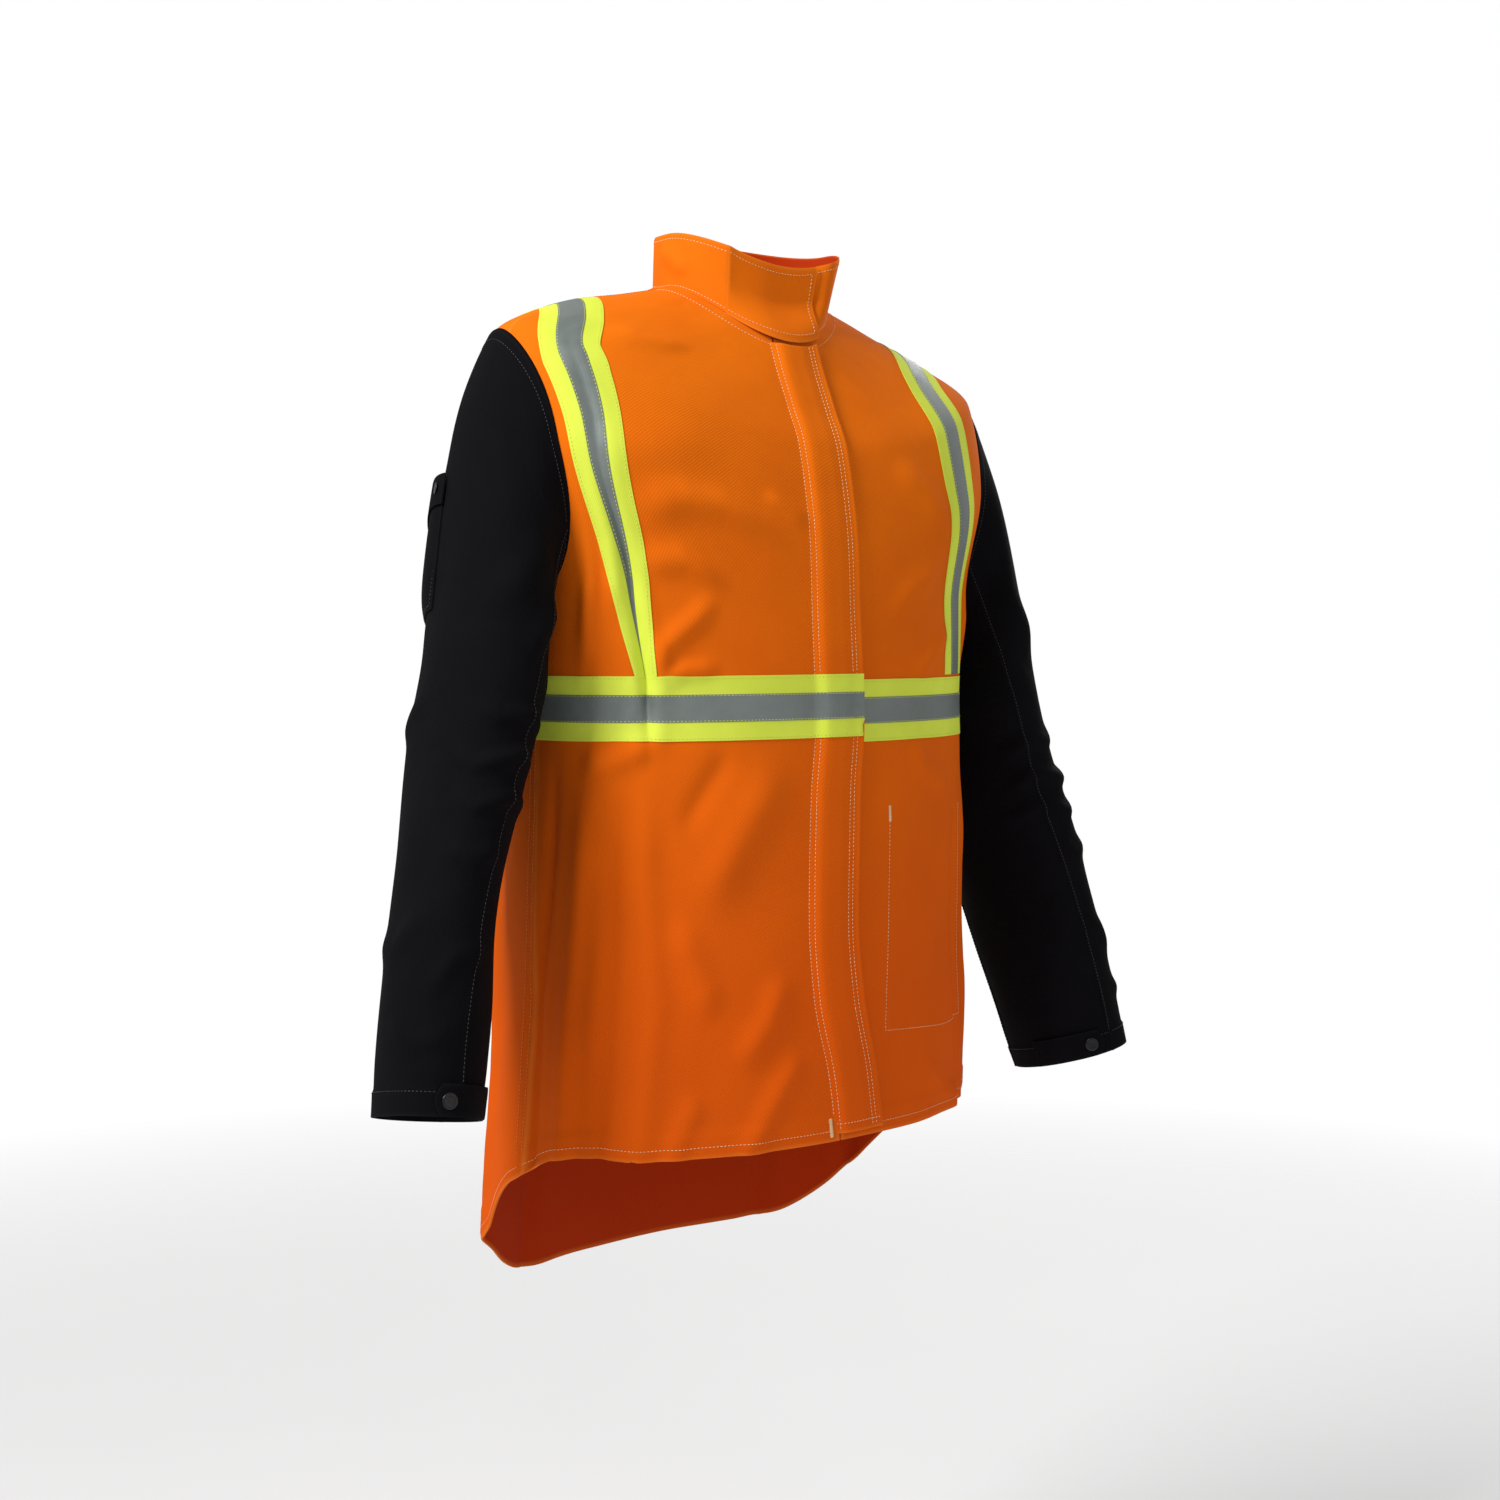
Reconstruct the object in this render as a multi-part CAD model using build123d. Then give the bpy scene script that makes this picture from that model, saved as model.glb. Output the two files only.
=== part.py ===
"""Welding jacket with a cotton body, split-leather sleeves and reflective tape.

Frame: millimetres, +Z up, front towards -Y, the wearer's left towards +X.
The origin is the centre of the neck at the height where the collar seam crosses
the shoulder line.  The jacket hangs as it does on a body or a form.

Soft walls follow three surface rules: torso(angle, level), collar(angle, level) and
sleeve(side, angle, level).  A panel is a patch of one rule with a thickness, and
everything sewn on it is a patch of the same rule standing a little further out.
"""
from build123d import *
import os
from math import asin, cos, degrees, radians, sin, sqrt

# ---------------------------------------------------------------- driving dimensions
FRONT_LENGTH = 738          # neck line to the front hem, measured down from the origin
TAIL_DROP = 152             # how far the back hem hangs below the front hem
WAIST_HEIGHT = -367         # middle of the reflective tape round the waist
TAPE_WIDTH = 54             # yellow backing tape
STRIPE_WIDTH = 23           # reflective stripe on the tape
SIDE_SEAM = 86              # degrees round from the front middle
FLAP_WIDTH = 54             # storm flap, hinge stitching to free edge
FLAP_HINGE_GAP = 6          # the folding strip beside the hinge stitching
COTTON = 1.2                # body cloth
LEATHER = 1.4               # sleeve hide
SNAP_RADIUS = 6.2
CUFF_TAB_WIDTH = 24
CUFF_TAB_ANGLES = (-14, 58)  # each way round the cuff from the snap
SEAM_GAP = 8                # the shoulder tapes stop this far short of the armhole

# level, half width, front depth, back depth, centre y, height at front, side and back,
# shoulder tilt, roundness.  Level 0 is the collar seam, 0.52 the waist, 1 the hem.
TORSO_RINGS = [
    (0.00, 80, 72, 70, 0, -48, 0, 22, 0, 2.0),
    (0.06, 132, 80, 84, -2, -75, -15, -5, 4, 2.0),
    (0.13, 200, 92, 104, -6, -110, -36, -45, 10, 2.1),
    (0.19, 256, 104, 118, -10, -145, -66, -90, 12, 2.2),
    (0.28, 264, 116, 136, -10, -205, -136, -170, 12, 2.3),
    (0.40, 234, 126, 146, -6, -288, -262, -280, 6, 2.3),
    (0.52, 229, 132, 140, -5, -368, -368, -368, 0, 2.3),
    (0.75, 226, 149, 138, 5, -540, -560, -570, 0, 2.3),
    (1.00, 232, 160, 142, 14, -738, -790, -885, 0, 2.3),
]
WAIST_LEVEL = 0.52

# level up the collar, half width, front depth, back depth, centre x, centre y,
# height at front, side and back
COLLAR_RINGS = [
    (0.0, 80, 72, 70, 0, 0, -48, 0, 22),
    (1.0, 90, 68, 72, 8, -4, 22, 49, 60),
]

# level down the sleeve, height, centre x, centre y, thin half, wide half, turn in degrees
SLEEVE_RINGS = [
    (0.400, -348, 282, -16, 44, 75, -7),
    (0.508, -408, 297, -20, 43, 72, -10),
    (0.705, -518, 329, -38, 39, 66, -15),
    (0.863, -606, 349, -55, 41, 60, -19),
    (1.000, -682, 364, -70, 40, 54, -20),
]
SLEEVE_TOP = SLEEVE_RINGS[0][0]
ARMHOLE = dict(y=2, z=-180, half_depth=70, half_height=118, tilt=10)
LEFT_SLEEVE_DROP = 40
# for each side: x sign, how far the sleeve rings hang lower, angle of the cuff snap
SIDES = {"right": (-1, 0, 98), "left": (1, LEFT_SLEEVE_DROP, 137)}
UNDER_SLEEVE = (115, 240)   # the seams of the under sleeve, degrees round from outside

# level, x of the middle of the storm flap
FLAP_ROUTE = [(0.0, 2), (0.30, 0), (0.52, 0), (0.62, -8), (0.76, -13), (0.84, -8),
              (0.93, 7), (1.0, 15)]
FLAP_LEVELS = (0.03, 0.985)
TAB_ANGLES = (-43, 24)      # the collar's overlap, round from its crease to its free end
COLLAR_END = -8             # angle of the collar's left end, under the tab
PEN_POCKET_ANGLES = (-64, -12)
PEN_POCKET_LEVELS = (0.185, 0.325)
FLAP_SNAP_HEIGHTS = (-105, -210, -310, -430, -550, -670)

# angle and level of points down the middle of each shoulder tape, front hem to back hem
SHOULDER_TAPE = {
    "right": [(-47, 0.476), (-50, 0.405), (-51, 0.335), (-53, 0.257), (-61, 0.187),
              (-73, 0.145), (-91, 0.122), (-109, 0.145), (-120, 0.187), (-126, 0.257),
              (-128, 0.335), (-129, 0.405), (-130, 0.476)],
    "left": [(47, 0.476), (46, 0.405), (44, 0.335), (41, 0.257), (43, 0.187),
             (58, 0.130), (90, 0.108), (110, 0.137), (121, 0.187), (126, 0.257),
             (128, 0.335), (129, 0.405), (130, 0.476)],
}

# distance of each layer from the rule's surface: inner face, outer face
BODY_LAYER = (0.0, COTTON)
FACING_LAYER = (-1.6, -0.4)
TAPE_LAYER = (1.8, 2.3)
STRIPE_LAYER = (2.5, 2.9)
SHOULDER_TAPE_LAYER = (2.8, 3.3)
SHOULDER_STRIPE_LAYER = (4.2, 4.6)
FLAP_FACING_LAYER = (3.4, 4.2)
FLAP_LAYER = (4.3, 5.5)
FLAP_TAPE_LAYER = (5.8, 6.4)
FLAP_STRIPE_LAYER = (6.5, 6.9)
COLLAR_LAYER = (0.0, 2.2)
SLEEVE_LAYER = (0.0, LEATHER)
CUFF_FACING_LAYER = (-1.8, -0.3)
CUFF_TAB_LAYER = (3.0, 4.6)
FIT = 0.1                   # how closely a wall's faces follow its surface rule


# ---------------------------------------------------------------- curves and surfaces
def ease(rows, where):
    """Smooth values between the rows of a table, without overshoot."""
    xs = [row[0] for row in rows]
    where = min(max(where, xs[0]), xs[-1])
    k = max(i for i in range(len(xs) - 1) if xs[i] <= where)
    step = xs[k + 1] - xs[k]
    t = (where - xs[k]) / step

    def slope(i, c):
        if i in (0, len(xs) - 1):
            j = min(i, len(xs) - 2)
            return (rows[j + 1][c] - rows[j][c]) / (xs[j + 1] - xs[j])
        before, after = xs[i] - xs[i - 1], xs[i + 1] - xs[i]
        a = (rows[i][c] - rows[i - 1][c]) / before
        b = (rows[i + 1][c] - rows[i][c]) / after
        if a * b <= 0:
            return 0.0
        w1, w2 = 2 * after + before, after + 2 * before
        return (w1 + w2) / (w1 / a + w2 / b)

    values = []
    for c in range(1, len(rows[0])):
        p, q = rows[k][c], rows[k + 1][c]
        m, n = slope(k, c) * step, slope(k + 1, c) * step
        values.append((2 * t**3 - 3 * t**2 + 1) * p + (t**3 - 2 * t**2 + t) * m
                      + (3 * t**2 - 2 * t**3) * q + (t**3 - t**2) * n)
    return values


def smooth_step(value, low, high):
    """0 below low, 1 above high, and a smooth rise between them."""
    t = min(max((value - low) / (high - low), 0.0), 1.0)
    return t * t * (3 - 2 * t)


def rounded(value, power):
    """A signed power, which squares an ellipse up a little."""
    return (abs(value) ** power) * (1 if value >= 0 else -1)


def hem_height(angle):
    """Height of the hem: level in front, then down round the sides to the tail."""
    turn = abs((angle + 180) % 360 - 180)
    return -FRONT_LENGTH - TAIL_DROP * smooth_step(turn, 66, 150)


def torso(angle, level):
    """A point of the body cloth; angle in degrees from the front middle towards +X."""
    half, front, back, centre, z_front, z_side, z_back, tilt, n = ease(TORSO_RINGS, level)
    s, c = sin(radians(angle)), cos(radians(angle))
    x = half * rounded(s, 2 / n)
    y = centre - (front if c > 0 else back) * rounded(c, 2 / n)
    if level > WAIST_LEVEL:
        share = (level - WAIST_LEVEL) / (1 - WAIST_LEVEL)
        waist = ease(TORSO_RINGS, WAIST_LEVEL)[4]
        z = waist + (hem_height(angle) - waist) * share
    else:
        z = z_side + ((z_front if c > 0 else z_back) - z_side) * c * c - tilt * x / half
    return Vector(x, y, z)


def level_at(angle, height):
    """The torso level whose point at this angle has this height."""
    low, high = 0.0, 1.0
    for _ in range(40):
        middle = (low + high) / 2
        if torso(angle, middle).Z > height:
            low = middle
        else:
            high = middle
    return (low + high) / 2


def angle_at(x, level):
    """The torso angle, at the front, whose point at this level has this x."""
    half, n = ease(TORSO_RINGS, level)[0], ease(TORSO_RINGS, level)[8]
    return degrees(asin(rounded(x / half, n / 2)))


def collar(angle, level):
    """A point of the stand-up collar; level 0 is its seam and 1 its top edge."""
    half, front, back, x0, y0, z_front, z_side, z_back = ease(COLLAR_RINGS, level)
    s, c = sin(radians(angle)), cos(radians(angle))
    z = z_side + ((z_front if c > 0 else z_back) - z_side) * c * c
    return Vector(x0 + half * s, y0 - (front if c > 0 else back) * c, z)


def armhole(side, angle):
    """A point of the armhole; angle 0 at the top of the shoulder, 90 at the front."""
    sign = SIDES[side][0]
    y = ARMHOLE["y"] - ARMHOLE["half_depth"] * sin(radians(angle))
    z = armhole_height(side) + ARMHOLE["half_height"] * cos(radians(angle))
    low, high = 0.10, 0.60
    for _ in range(40):
        level = (low + high) / 2
        half, front, back, centre, *_, n = ease(TORSO_RINGS, level)
        depth = front if y < centre else back
        across = degrees(asin(sqrt(max(0.0, 1 - abs((y - centre) / depth) ** n))))
        turn = across if y < centre else 180 - across
        point = torso(sign * turn, level)
        if point.Z > z:
            low = level
        else:
            high = level
    return Vector(point.X, y, z)


def armhole_height(side):
    """Height of the middle of the armhole."""
    return ARMHOLE["z"] - SIDES[side][0] * ARMHOLE["tilt"]


def sleeve_ring(side, angle, level):
    """A point of the sleeve's tube, below the sleeve head."""
    sign, drop, _ = SIDES[side]
    height, x0, y0, thin, wide, turn = ease(SLEEVE_RINGS, level)
    further = ease(SLEEVE_RINGS, min(level + 0.01, 1.0))
    nearer = ease(SLEEVE_RINGS, max(level - 0.01, SLEEVE_TOP))
    fall = further[0] - nearer[0]
    lean_x, lean_y = (further[1] - nearer[1]) / fall, (further[2] - nearer[2]) / fall
    c, s, t = cos(radians(angle)), sin(radians(angle)), radians(turn)
    dx = thin * c * cos(t) - wide * s * sin(t)
    dy = -thin * c * sin(t) - wide * s * cos(t)
    return Vector(sign * (x0 + dx), y0 + dy, height - drop - dx * lean_x - dy * lean_y)


def sleeve(side, angle, level):
    """A point of the sleeve; level 0 is the armhole seam and 1 the cuff."""
    if level >= SLEEVE_TOP:
        return sleeve_ring(side, angle, level)
    sign = SIDES[side][0]
    start = armhole(side, angle) + Vector(sign * 2.5, 0, 0)
    end = sleeve_ring(side, angle, SLEEVE_TOP)
    reach = (end - start).length
    out = Vector(sign * 0.50, 0, -0.866) * reach
    down = (sleeve_ring(side, angle, SLEEVE_TOP + 0.02) - end).normalized() * reach
    t = level / SLEEVE_TOP
    return (start * (2 * t**3 - 3 * t**2 + 1) + out * (t**3 - 2 * t**2 + t)
            + end * (3 * t**2 - 2 * t**3) + down * (t**3 - t**2))


def outward(surface, u, v, middle):
    """Unit normal of a surface, pointing away from its middle line."""
    du, dv = 0.05, 0.0005
    across = surface(u + du, v) - surface(u - du, v)
    along = surface(u, min(v + dv, 1.0)) - surface(u, max(v - dv, 0.0))
    normal = across.cross(along).normalized()
    away = surface(u, v) - middle(v)
    return normal if normal.dot(away) > 0 else -normal


def torso_middle(level):
    """The middle line of the body."""
    return Vector(0, 0, -900 * level)


def collar_middle(level):
    """The middle line of the collar."""
    return Vector(4, 0, 20)


def sleeve_middle(side):
    """The middle line of a sleeve, as a function of level."""
    def middle(level):
        return (sleeve(side, 0, level) + sleeve(side, 180, level)) / 2
    return middle


# ---------------------------------------------------------------- solids
def patch(surface, middle, place, layer, counts):
    """A closed wall: place(i, j) gives (u, v) over the unit square, between two layers."""
    columns, rows = counts
    inner_layer, outer_layer = layer

    def lift(value, i, j):
        return value(i, j) if callable(value) else value

    skins = []
    for value in (inner_layer, outer_layer):
        points = []
        for a in range(columns):
            line = []
            for b in range(rows):
                i, j = a / (columns - 1), b / (rows - 1)
                u, v = place(i, j)
                normal = outward(surface, u, v, middle)
                line.append(surface(u, v) + normal * lift(value, i, j))
            points.append(line)
        skins.append(Face.make_surface_from_array_of_points(points, tol=FIT, min_deg=3,
                                                            max_deg=3))
    inner, outer = skins
    walls = []
    for edge in outer.edges():
        centre = edge.position_at(0.5)
        partner = min(inner.edges(), key=lambda e: (e.position_at(0.5) - centre).length)
        walls.append(Face.make_surface_from_curves(edge, partner))
    return Solid(Shell([inner, outer] + walls))


def block(surface, middle, angles, levels, layer, counts=(13, 9)):
    """A wall over a plain range of angles and levels."""
    def place(i, j):
        return (angles[0] + (angles[1] - angles[0]) * i,
                levels[0] + (levels[1] - levels[0]) * j)
    return patch(surface, middle, place, layer, counts)


def walk(surface, u, v, heading, distance):
    """The (u, v) reached by walking on a surface in a fixed direction of space."""
    steps = max(1, round(abs(distance) / 6))
    for _ in range(steps):
        here = surface(u, v)
        pu = (surface(u + 0.05, v) - here) / 0.05
        pv = (surface(u, v + 0.0005) - here) / 0.0005
        go = heading * (distance / steps)
        a, b, c = pu.dot(pu), pu.dot(pv), pv.dot(pv)
        p, q = go.dot(pu), go.dot(pv)
        det = a * c - b * b
        u, v = u + (p * c - q * b) / det, v + (a * q - b * p) / det
    return u, v


def disc(surface, middle, u, v, radius, layer, hole=0.0):
    """A round snap part lying on a surface."""
    normal = outward(surface, u, v, middle)
    base = Plane(origin=surface(u, v) + normal * layer[0], z_dir=normal)
    height = layer[1] - layer[0]
    body = extrude(base * Circle(radius), height)
    if hole:
        body = body - extrude(base * Circle(hole), height)
    return body


def save(name, *solids):
    """Write the solids of one node."""
    parts = [s for solid in solids for s in solid.solids()]
    shape = parts[0] if len(parts) == 1 else Compound(children=parts)
    export_step(shape, f"parts/{name}.step")


# ---------------------------------------------------------------- the body
def armhole_cutter(side, margin=0):
    """A bar through the side of the body, as wide as the armhole and a margin."""
    sign = SIDES[side][0]
    base = Plane(origin=(sign * 130, ARMHOLE["y"], armhole_height(side)), x_dir=(0, 1, 0),
                 z_dir=(sign, 0, 0))
    return extrude(base * Ellipse(ARMHOLE["half_depth"] + margin,
                                  ARMHOLE["half_height"] + margin), 200)


def flap_angle(level, offset):
    """Torso angle of the line that stands this far from the middle of the flap."""
    return angle_at(ease(FLAP_ROUTE, level)[0] + offset, level)


def front_panel(side):
    """One front, from under the flap round to the side seam."""
    sign = SIDES[side][0]
    edge = -FLAP_WIDTH / 2 + (-0.2 if sign < 0 else 2.0)

    def place(i, j):
        start = flap_angle(j, edge)
        return start + (sign * SIDE_SEAM - start) * i, j
    wall = patch(torso, torso_middle, place, BODY_LAYER, (25, 49))
    return wall - armhole_cutter(side)


def back_panel():
    """The back, from side seam to side seam."""
    wall = block(torso, torso_middle, (SIDE_SEAM, 360 - SIDE_SEAM), (0, 1), BODY_LAYER,
                 (37, 49))
    return wall - armhole_cutter("right") - armhole_cutter("left")


def front_facing(side):
    """The turned-in strip behind a front edge."""
    sign = SIDES[side][0]
    near = -FLAP_WIDTH / 2 + (-2 if sign < 0 else 4)
    far = near + sign * (32 if sign < 0 else 52)

    def place(i, j):
        level = FLAP_LEVELS[0] + (FLAP_LEVELS[1] - FLAP_LEVELS[0]) * j
        return flap_angle(level, near + (far - near) * i), level
    return patch(torso, torso_middle, place, FACING_LAYER, (7, 25))


def flap_layer(layer, inset):
    """One layer of the storm flap."""
    def place(i, j):
        level = FLAP_LEVELS[0] + (FLAP_LEVELS[1] - FLAP_LEVELS[0]) * j
        left, right = -FLAP_WIDTH / 2 + FLAP_HINGE_GAP, FLAP_WIDTH / 2 - inset
        return flap_angle(level, left + (right - left) * i), level
    return patch(torso, torso_middle, place, layer, (7, 31))


def band(angles, middle_height, width, layer, counts=(17, 3)):
    """A level tape round the body."""
    def place(i, j):
        angle = angles[0] + (angles[1] - angles[0]) * i
        height = middle_height + width / 2 - width * j
        return angle, level_at(angle, height)
    return patch(torso, torso_middle, place, layer, counts)


def shoulder_band(side, width, layer):
    """A tape from the waist up the front, over the shoulder and down the back."""
    route = [(k / (len(SHOULDER_TAPE[side]) - 1), a, v)
             for k, (a, v) in enumerate(SHOULDER_TAPE[side])]
    cutter = armhole_cutter(side, SEAM_GAP)
    return [shoulder_length(route, k / 4, (k + 1) / 4, width, layer) - cutter
            for k in range(4)]


def shoulder_length(route, start, finish, width, layer):
    """One quarter of a shoulder tape."""
    def place(i, j):
        j = start + (finish - start) * j
        angle, level = ease(route, j)
        a0, v0 = ease(route, max(j - 0.01, 0))
        a1, v1 = ease(route, min(j + 0.01, 1))
        along = (torso(a1, v1) - torso(a0, v0)).normalized()
        normal = outward(torso, angle, level, torso_middle)
        return walk(torso, angle, level, along.cross(normal), width * (i - 0.5))
    return patch(torso, torso_middle, place, layer, (5, 15))


def inside_pocket():
    """A patch pocket on the inside of the left front, open at the top."""
    def depth(i, j):
        edge = (1 - abs(2 * i - 1) ** 4) * (1 - j**8)
        return 8.0 * edge
    angles, levels = (13, 50), (0.645, 0.888)
    return block(torso, torso_middle, angles, levels,
                 (lambda i, j: -1.9 - depth(i, j), lambda i, j: -0.7 - depth(i, j)),
                 (13, 13))


def bartacks():
    """Short bars of dense stitching where the seams take load."""
    spots = [(flap_angle(0.985, -FLAP_WIDTH / 2 - 4), 0.985), (12.0, 0.640)]
    return [disc(torso, torso_middle, a, v, 2.2, (1.3, 1.9)) for a, v in spots]


# ---------------------------------------------------------------- the collar
def tab_rise(i):
    """How far the collar tab stands out, to clear the end that it overlaps."""
    return 3.65 * smooth_step(i, 0.0, 0.45)


def collar_tab():
    """The end of the collar that crosses the throat."""
    return block(collar, collar_middle, TAB_ANGLES, (0.03, 0.99),
                 (lambda i, j: tab_rise(i), lambda i, j: tab_rise(i) + 2.2), (15, 5))


def hang_loop():
    """A flat loop inside the neck, to hang the jacket from a hook."""
    top, drop, half, thick, wide = 20, 22, 30, 1.5, 8
    seam_y = 63.0
    outer = Polyline((-half, top), (-half + 8, top - drop), (half - 8, top - drop),
                     (half, top), (half - wide, top), (half - 8 - wide / 2, top - drop + wide),
                     (-half + 8 + wide / 2, top - drop + wide), (-half + wide, top),
                     (-half, top))
    face = Plane(origin=(0, seam_y, 0), x_dir=(1, 0, 0), z_dir=(0, -1, 0)) * make_face(outer)
    return extrude(face, thick)


# ---------------------------------------------------------------- the sleeves
def sleeve_wall(side, angles, layer, levels=(0, 1), counts=(13, 25)):
    """A wall of a sleeve."""
    def surface(angle, level):
        return sleeve(side, angle, level)
    return block(surface, sleeve_middle(side), angles, levels, layer, counts)


def sleeve_disc(side, angle, level, radius, layer):
    """A round snap part on a sleeve."""
    def surface(u, v):
        return sleeve(side, u, v)
    return disc(surface, sleeve_middle(side), angle, level, radius, layer)


def cuff_tab(side):
    """The snap strap at the cuff."""
    snap = SIDES[side][2]
    angles = (snap + CUFF_TAB_ANGLES[0], snap + CUFF_TAB_ANGLES[1])
    return sleeve_wall(side, angles, CUFF_TAB_LAYER,
                       (1 - 1.1 * CUFF_TAB_WIDTH / 620, 1.0), (9, 3))


def pen_pocket():
    """The pen pocket on the right sleeve, open at the top."""
    def bulge(i, j):
        return 5.4 * (1 - abs(2 * i - 1) ** 4) * (1 - j**8)
    return sleeve_wall("right", PEN_POCKET_ANGLES,
                       (lambda i, j: 1.6 + bulge(i, j), lambda i, j: 2.8 + bulge(i, j)),
                       PEN_POCKET_LEVELS, (11, 11))


def pen_pocket_flap():
    """The flap that closes the pen pocket."""
    top = PEN_POCKET_LEVELS[0] - 0.012

    def bulge(i, j):
        return 5.4 * (1 - abs(2 * i - 1) ** 4)
    return sleeve_wall("right", (PEN_POCKET_ANGLES[0] - 2, PEN_POCKET_ANGLES[1] + 2),
                       (lambda i, j: 3.3 + bulge(i, j), lambda i, j: 4.5 + bulge(i, j)),
                       (top, top + 0.035), (11, 5))


# ---------------------------------------------------------------- write every node
def build():
    """Make each node and write it."""
    save("back_panel", back_panel())
    for side in SIDES:
        save(f"front_panel_{side}", front_panel(side))
        save(f"front_facing_{side}", front_facing(side))
    save("storm_flap", flap_layer(FLAP_LAYER, 0))
    save("storm_flap_facing", flap_layer(FLAP_FACING_LAYER, 1.5))

    studs, sockets = [], []
    for height in FLAP_SNAP_HEIGHTS:
        level = level_at(0, height)
        angle = flap_angle(level, 4)
        studs.append(disc(torso, torso_middle, angle, level, 5.0, (1.3, 2.0))
                     + disc(torso, torso_middle, angle, level, 1.9, (2.0, 3.0)))
        sockets.append(disc(torso, torso_middle, angle, level, 5.5, (2.35, 3.1), 2.4))
    save("flap_snap_studs", *studs)
    save("flap_snap_sockets", *sockets)

    save("collar_band", block(collar, collar_middle, (COLLAR_END, 360 - 43.5), (0.03, 1),
                              COLLAR_LAYER, (33, 5)))
    save("collar_tab", collar_tab())
    save("collar_loop_patch", block(collar, collar_middle, (-5, 20), (0.25, 0.75),
                                    (2.25, 2.75), (7, 3)))
    save("collar_hook_patch", block(collar, collar_middle, (-2, 20), (0.27, 0.73),
                                    (3.1, 3.55), (7, 3)))
    save("collar_parking_patch", block(collar, collar_middle, (-72, -50), (0.3, 0.75),
                                       (-0.8, -0.2), (7, 3)))
    save("neck_label", block(collar, collar_middle, (160, 200), (0.35, 0.80),
                             (-0.8, -0.2), (7, 3)))
    save("hang_loop", hang_loop())

    low_waist = WAIST_HEIGHT - 5
    for kind, width, layer, flap, shoulder in (
            ("tape", TAPE_WIDTH, TAPE_LAYER, FLAP_TAPE_LAYER, SHOULDER_TAPE_LAYER),
            ("stripe", STRIPE_WIDTH, STRIPE_LAYER, FLAP_STRIPE_LAYER,
             SHOULDER_STRIPE_LAYER)):
        hinge = flap_angle(WAIST_LEVEL, -FLAP_WIDTH / 2)
        fold = flap_angle(WAIST_LEVEL, -FLAP_WIDTH / 2 + FLAP_HINGE_GAP + 0.5)
        edge = flap_angle(WAIST_LEVEL, FLAP_WIDTH / 2)
        save(f"waist_{kind}_right", band((-SIDE_SEAM, hinge), WAIST_HEIGHT, width, layer))
        save(f"waist_{kind}_flap", band((fold, edge), WAIST_HEIGHT, width, flap, (7, 3)))
        save(f"waist_{kind}_left", band((hinge + 9, SIDE_SEAM), low_waist, width, layer))
        save(f"waist_{kind}_back", band((SIDE_SEAM, 360 - SIDE_SEAM), WAIST_HEIGHT, width,
                                        layer, (25, 3)))
        for side in SIDES:
            save(f"shoulder_{kind}_{side}", *shoulder_band(side, width, shoulder))
    save("inside_pocket", inside_pocket())
    save("bartacks", *bartacks())

    upper = (UNDER_SLEEVE[1] - 360, UNDER_SLEEVE[0])
    for side in SIDES:
        snap = SIDES[side][2]
        save(f"upper_sleeve_{side}", sleeve_wall(side, upper, SLEEVE_LAYER, counts=(21, 25)))
        save(f"under_sleeve_{side}", sleeve_wall(side, UNDER_SLEEVE, SLEEVE_LAYER))
        save(f"cuff_facing_{side}",
             sleeve_wall(side, (0, 180), CUFF_FACING_LAYER, (0.94, 0.997), (17, 3)),
             sleeve_wall(side, (180, 360), CUFF_FACING_LAYER, (0.94, 0.997), (17, 3)))
        save(f"cuff_tab_{side}", cuff_tab(side))
        save(f"cuff_snap_stud_{side}", sleeve_disc(side, snap, 0.98, 4.5, (1.5, 2.6)))
        save(f"cuff_snap_cap_{side}", sleeve_disc(side, snap, 0.98, SNAP_RADIUS, (4.7, 6.0)))
    save("pen_pocket", pen_pocket())
    save("pen_pocket_flap", pen_pocket_flap())
    corner = PEN_POCKET_ANGLES[1] - 5
    save("pen_pocket_snap_cap", sleeve_disc("right", corner, 0.188, 5.0, (9.0, 10.2)))


os.makedirs("parts", exist_ok=True)
build()
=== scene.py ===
"""The looks of a welding jacket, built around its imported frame.

The body is orange cotton with lime and silver tapes, the sleeves are black split leather.
Lengths in the rules are millimetres and become metres when a mesh is made.  Every cloth
piece is a patch of one of three surface rules (body, collar, sleeve), so that whatever is
sewn on a wrinkled panel follows its wrinkles.
"""

import logging
import math
from dataclasses import dataclass, field
from enum import Enum
from typing import Callable, ClassVar, Optional, Sequence, Union

import bmesh
import bpy
import numpy as np
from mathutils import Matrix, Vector


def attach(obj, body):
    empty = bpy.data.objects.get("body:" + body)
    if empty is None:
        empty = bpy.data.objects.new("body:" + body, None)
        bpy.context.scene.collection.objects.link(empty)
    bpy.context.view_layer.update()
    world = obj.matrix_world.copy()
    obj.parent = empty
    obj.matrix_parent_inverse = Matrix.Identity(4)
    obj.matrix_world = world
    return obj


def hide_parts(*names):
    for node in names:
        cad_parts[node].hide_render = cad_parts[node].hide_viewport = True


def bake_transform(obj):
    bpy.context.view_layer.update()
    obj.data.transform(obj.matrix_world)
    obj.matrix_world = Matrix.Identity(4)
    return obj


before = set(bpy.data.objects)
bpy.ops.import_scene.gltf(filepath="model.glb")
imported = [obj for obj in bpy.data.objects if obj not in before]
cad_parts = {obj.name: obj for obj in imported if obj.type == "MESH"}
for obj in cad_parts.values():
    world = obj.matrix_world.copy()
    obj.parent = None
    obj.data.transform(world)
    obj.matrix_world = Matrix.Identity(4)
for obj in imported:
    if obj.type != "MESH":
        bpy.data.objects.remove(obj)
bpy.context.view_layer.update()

LOG = logging.getLogger("jacket")
MM = 0.001
Array = np.ndarray
Place = Callable[[Array, Array], tuple[Array, Array]]
Lift = Union[float, Callable[[Array, Array], Array]]
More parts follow.
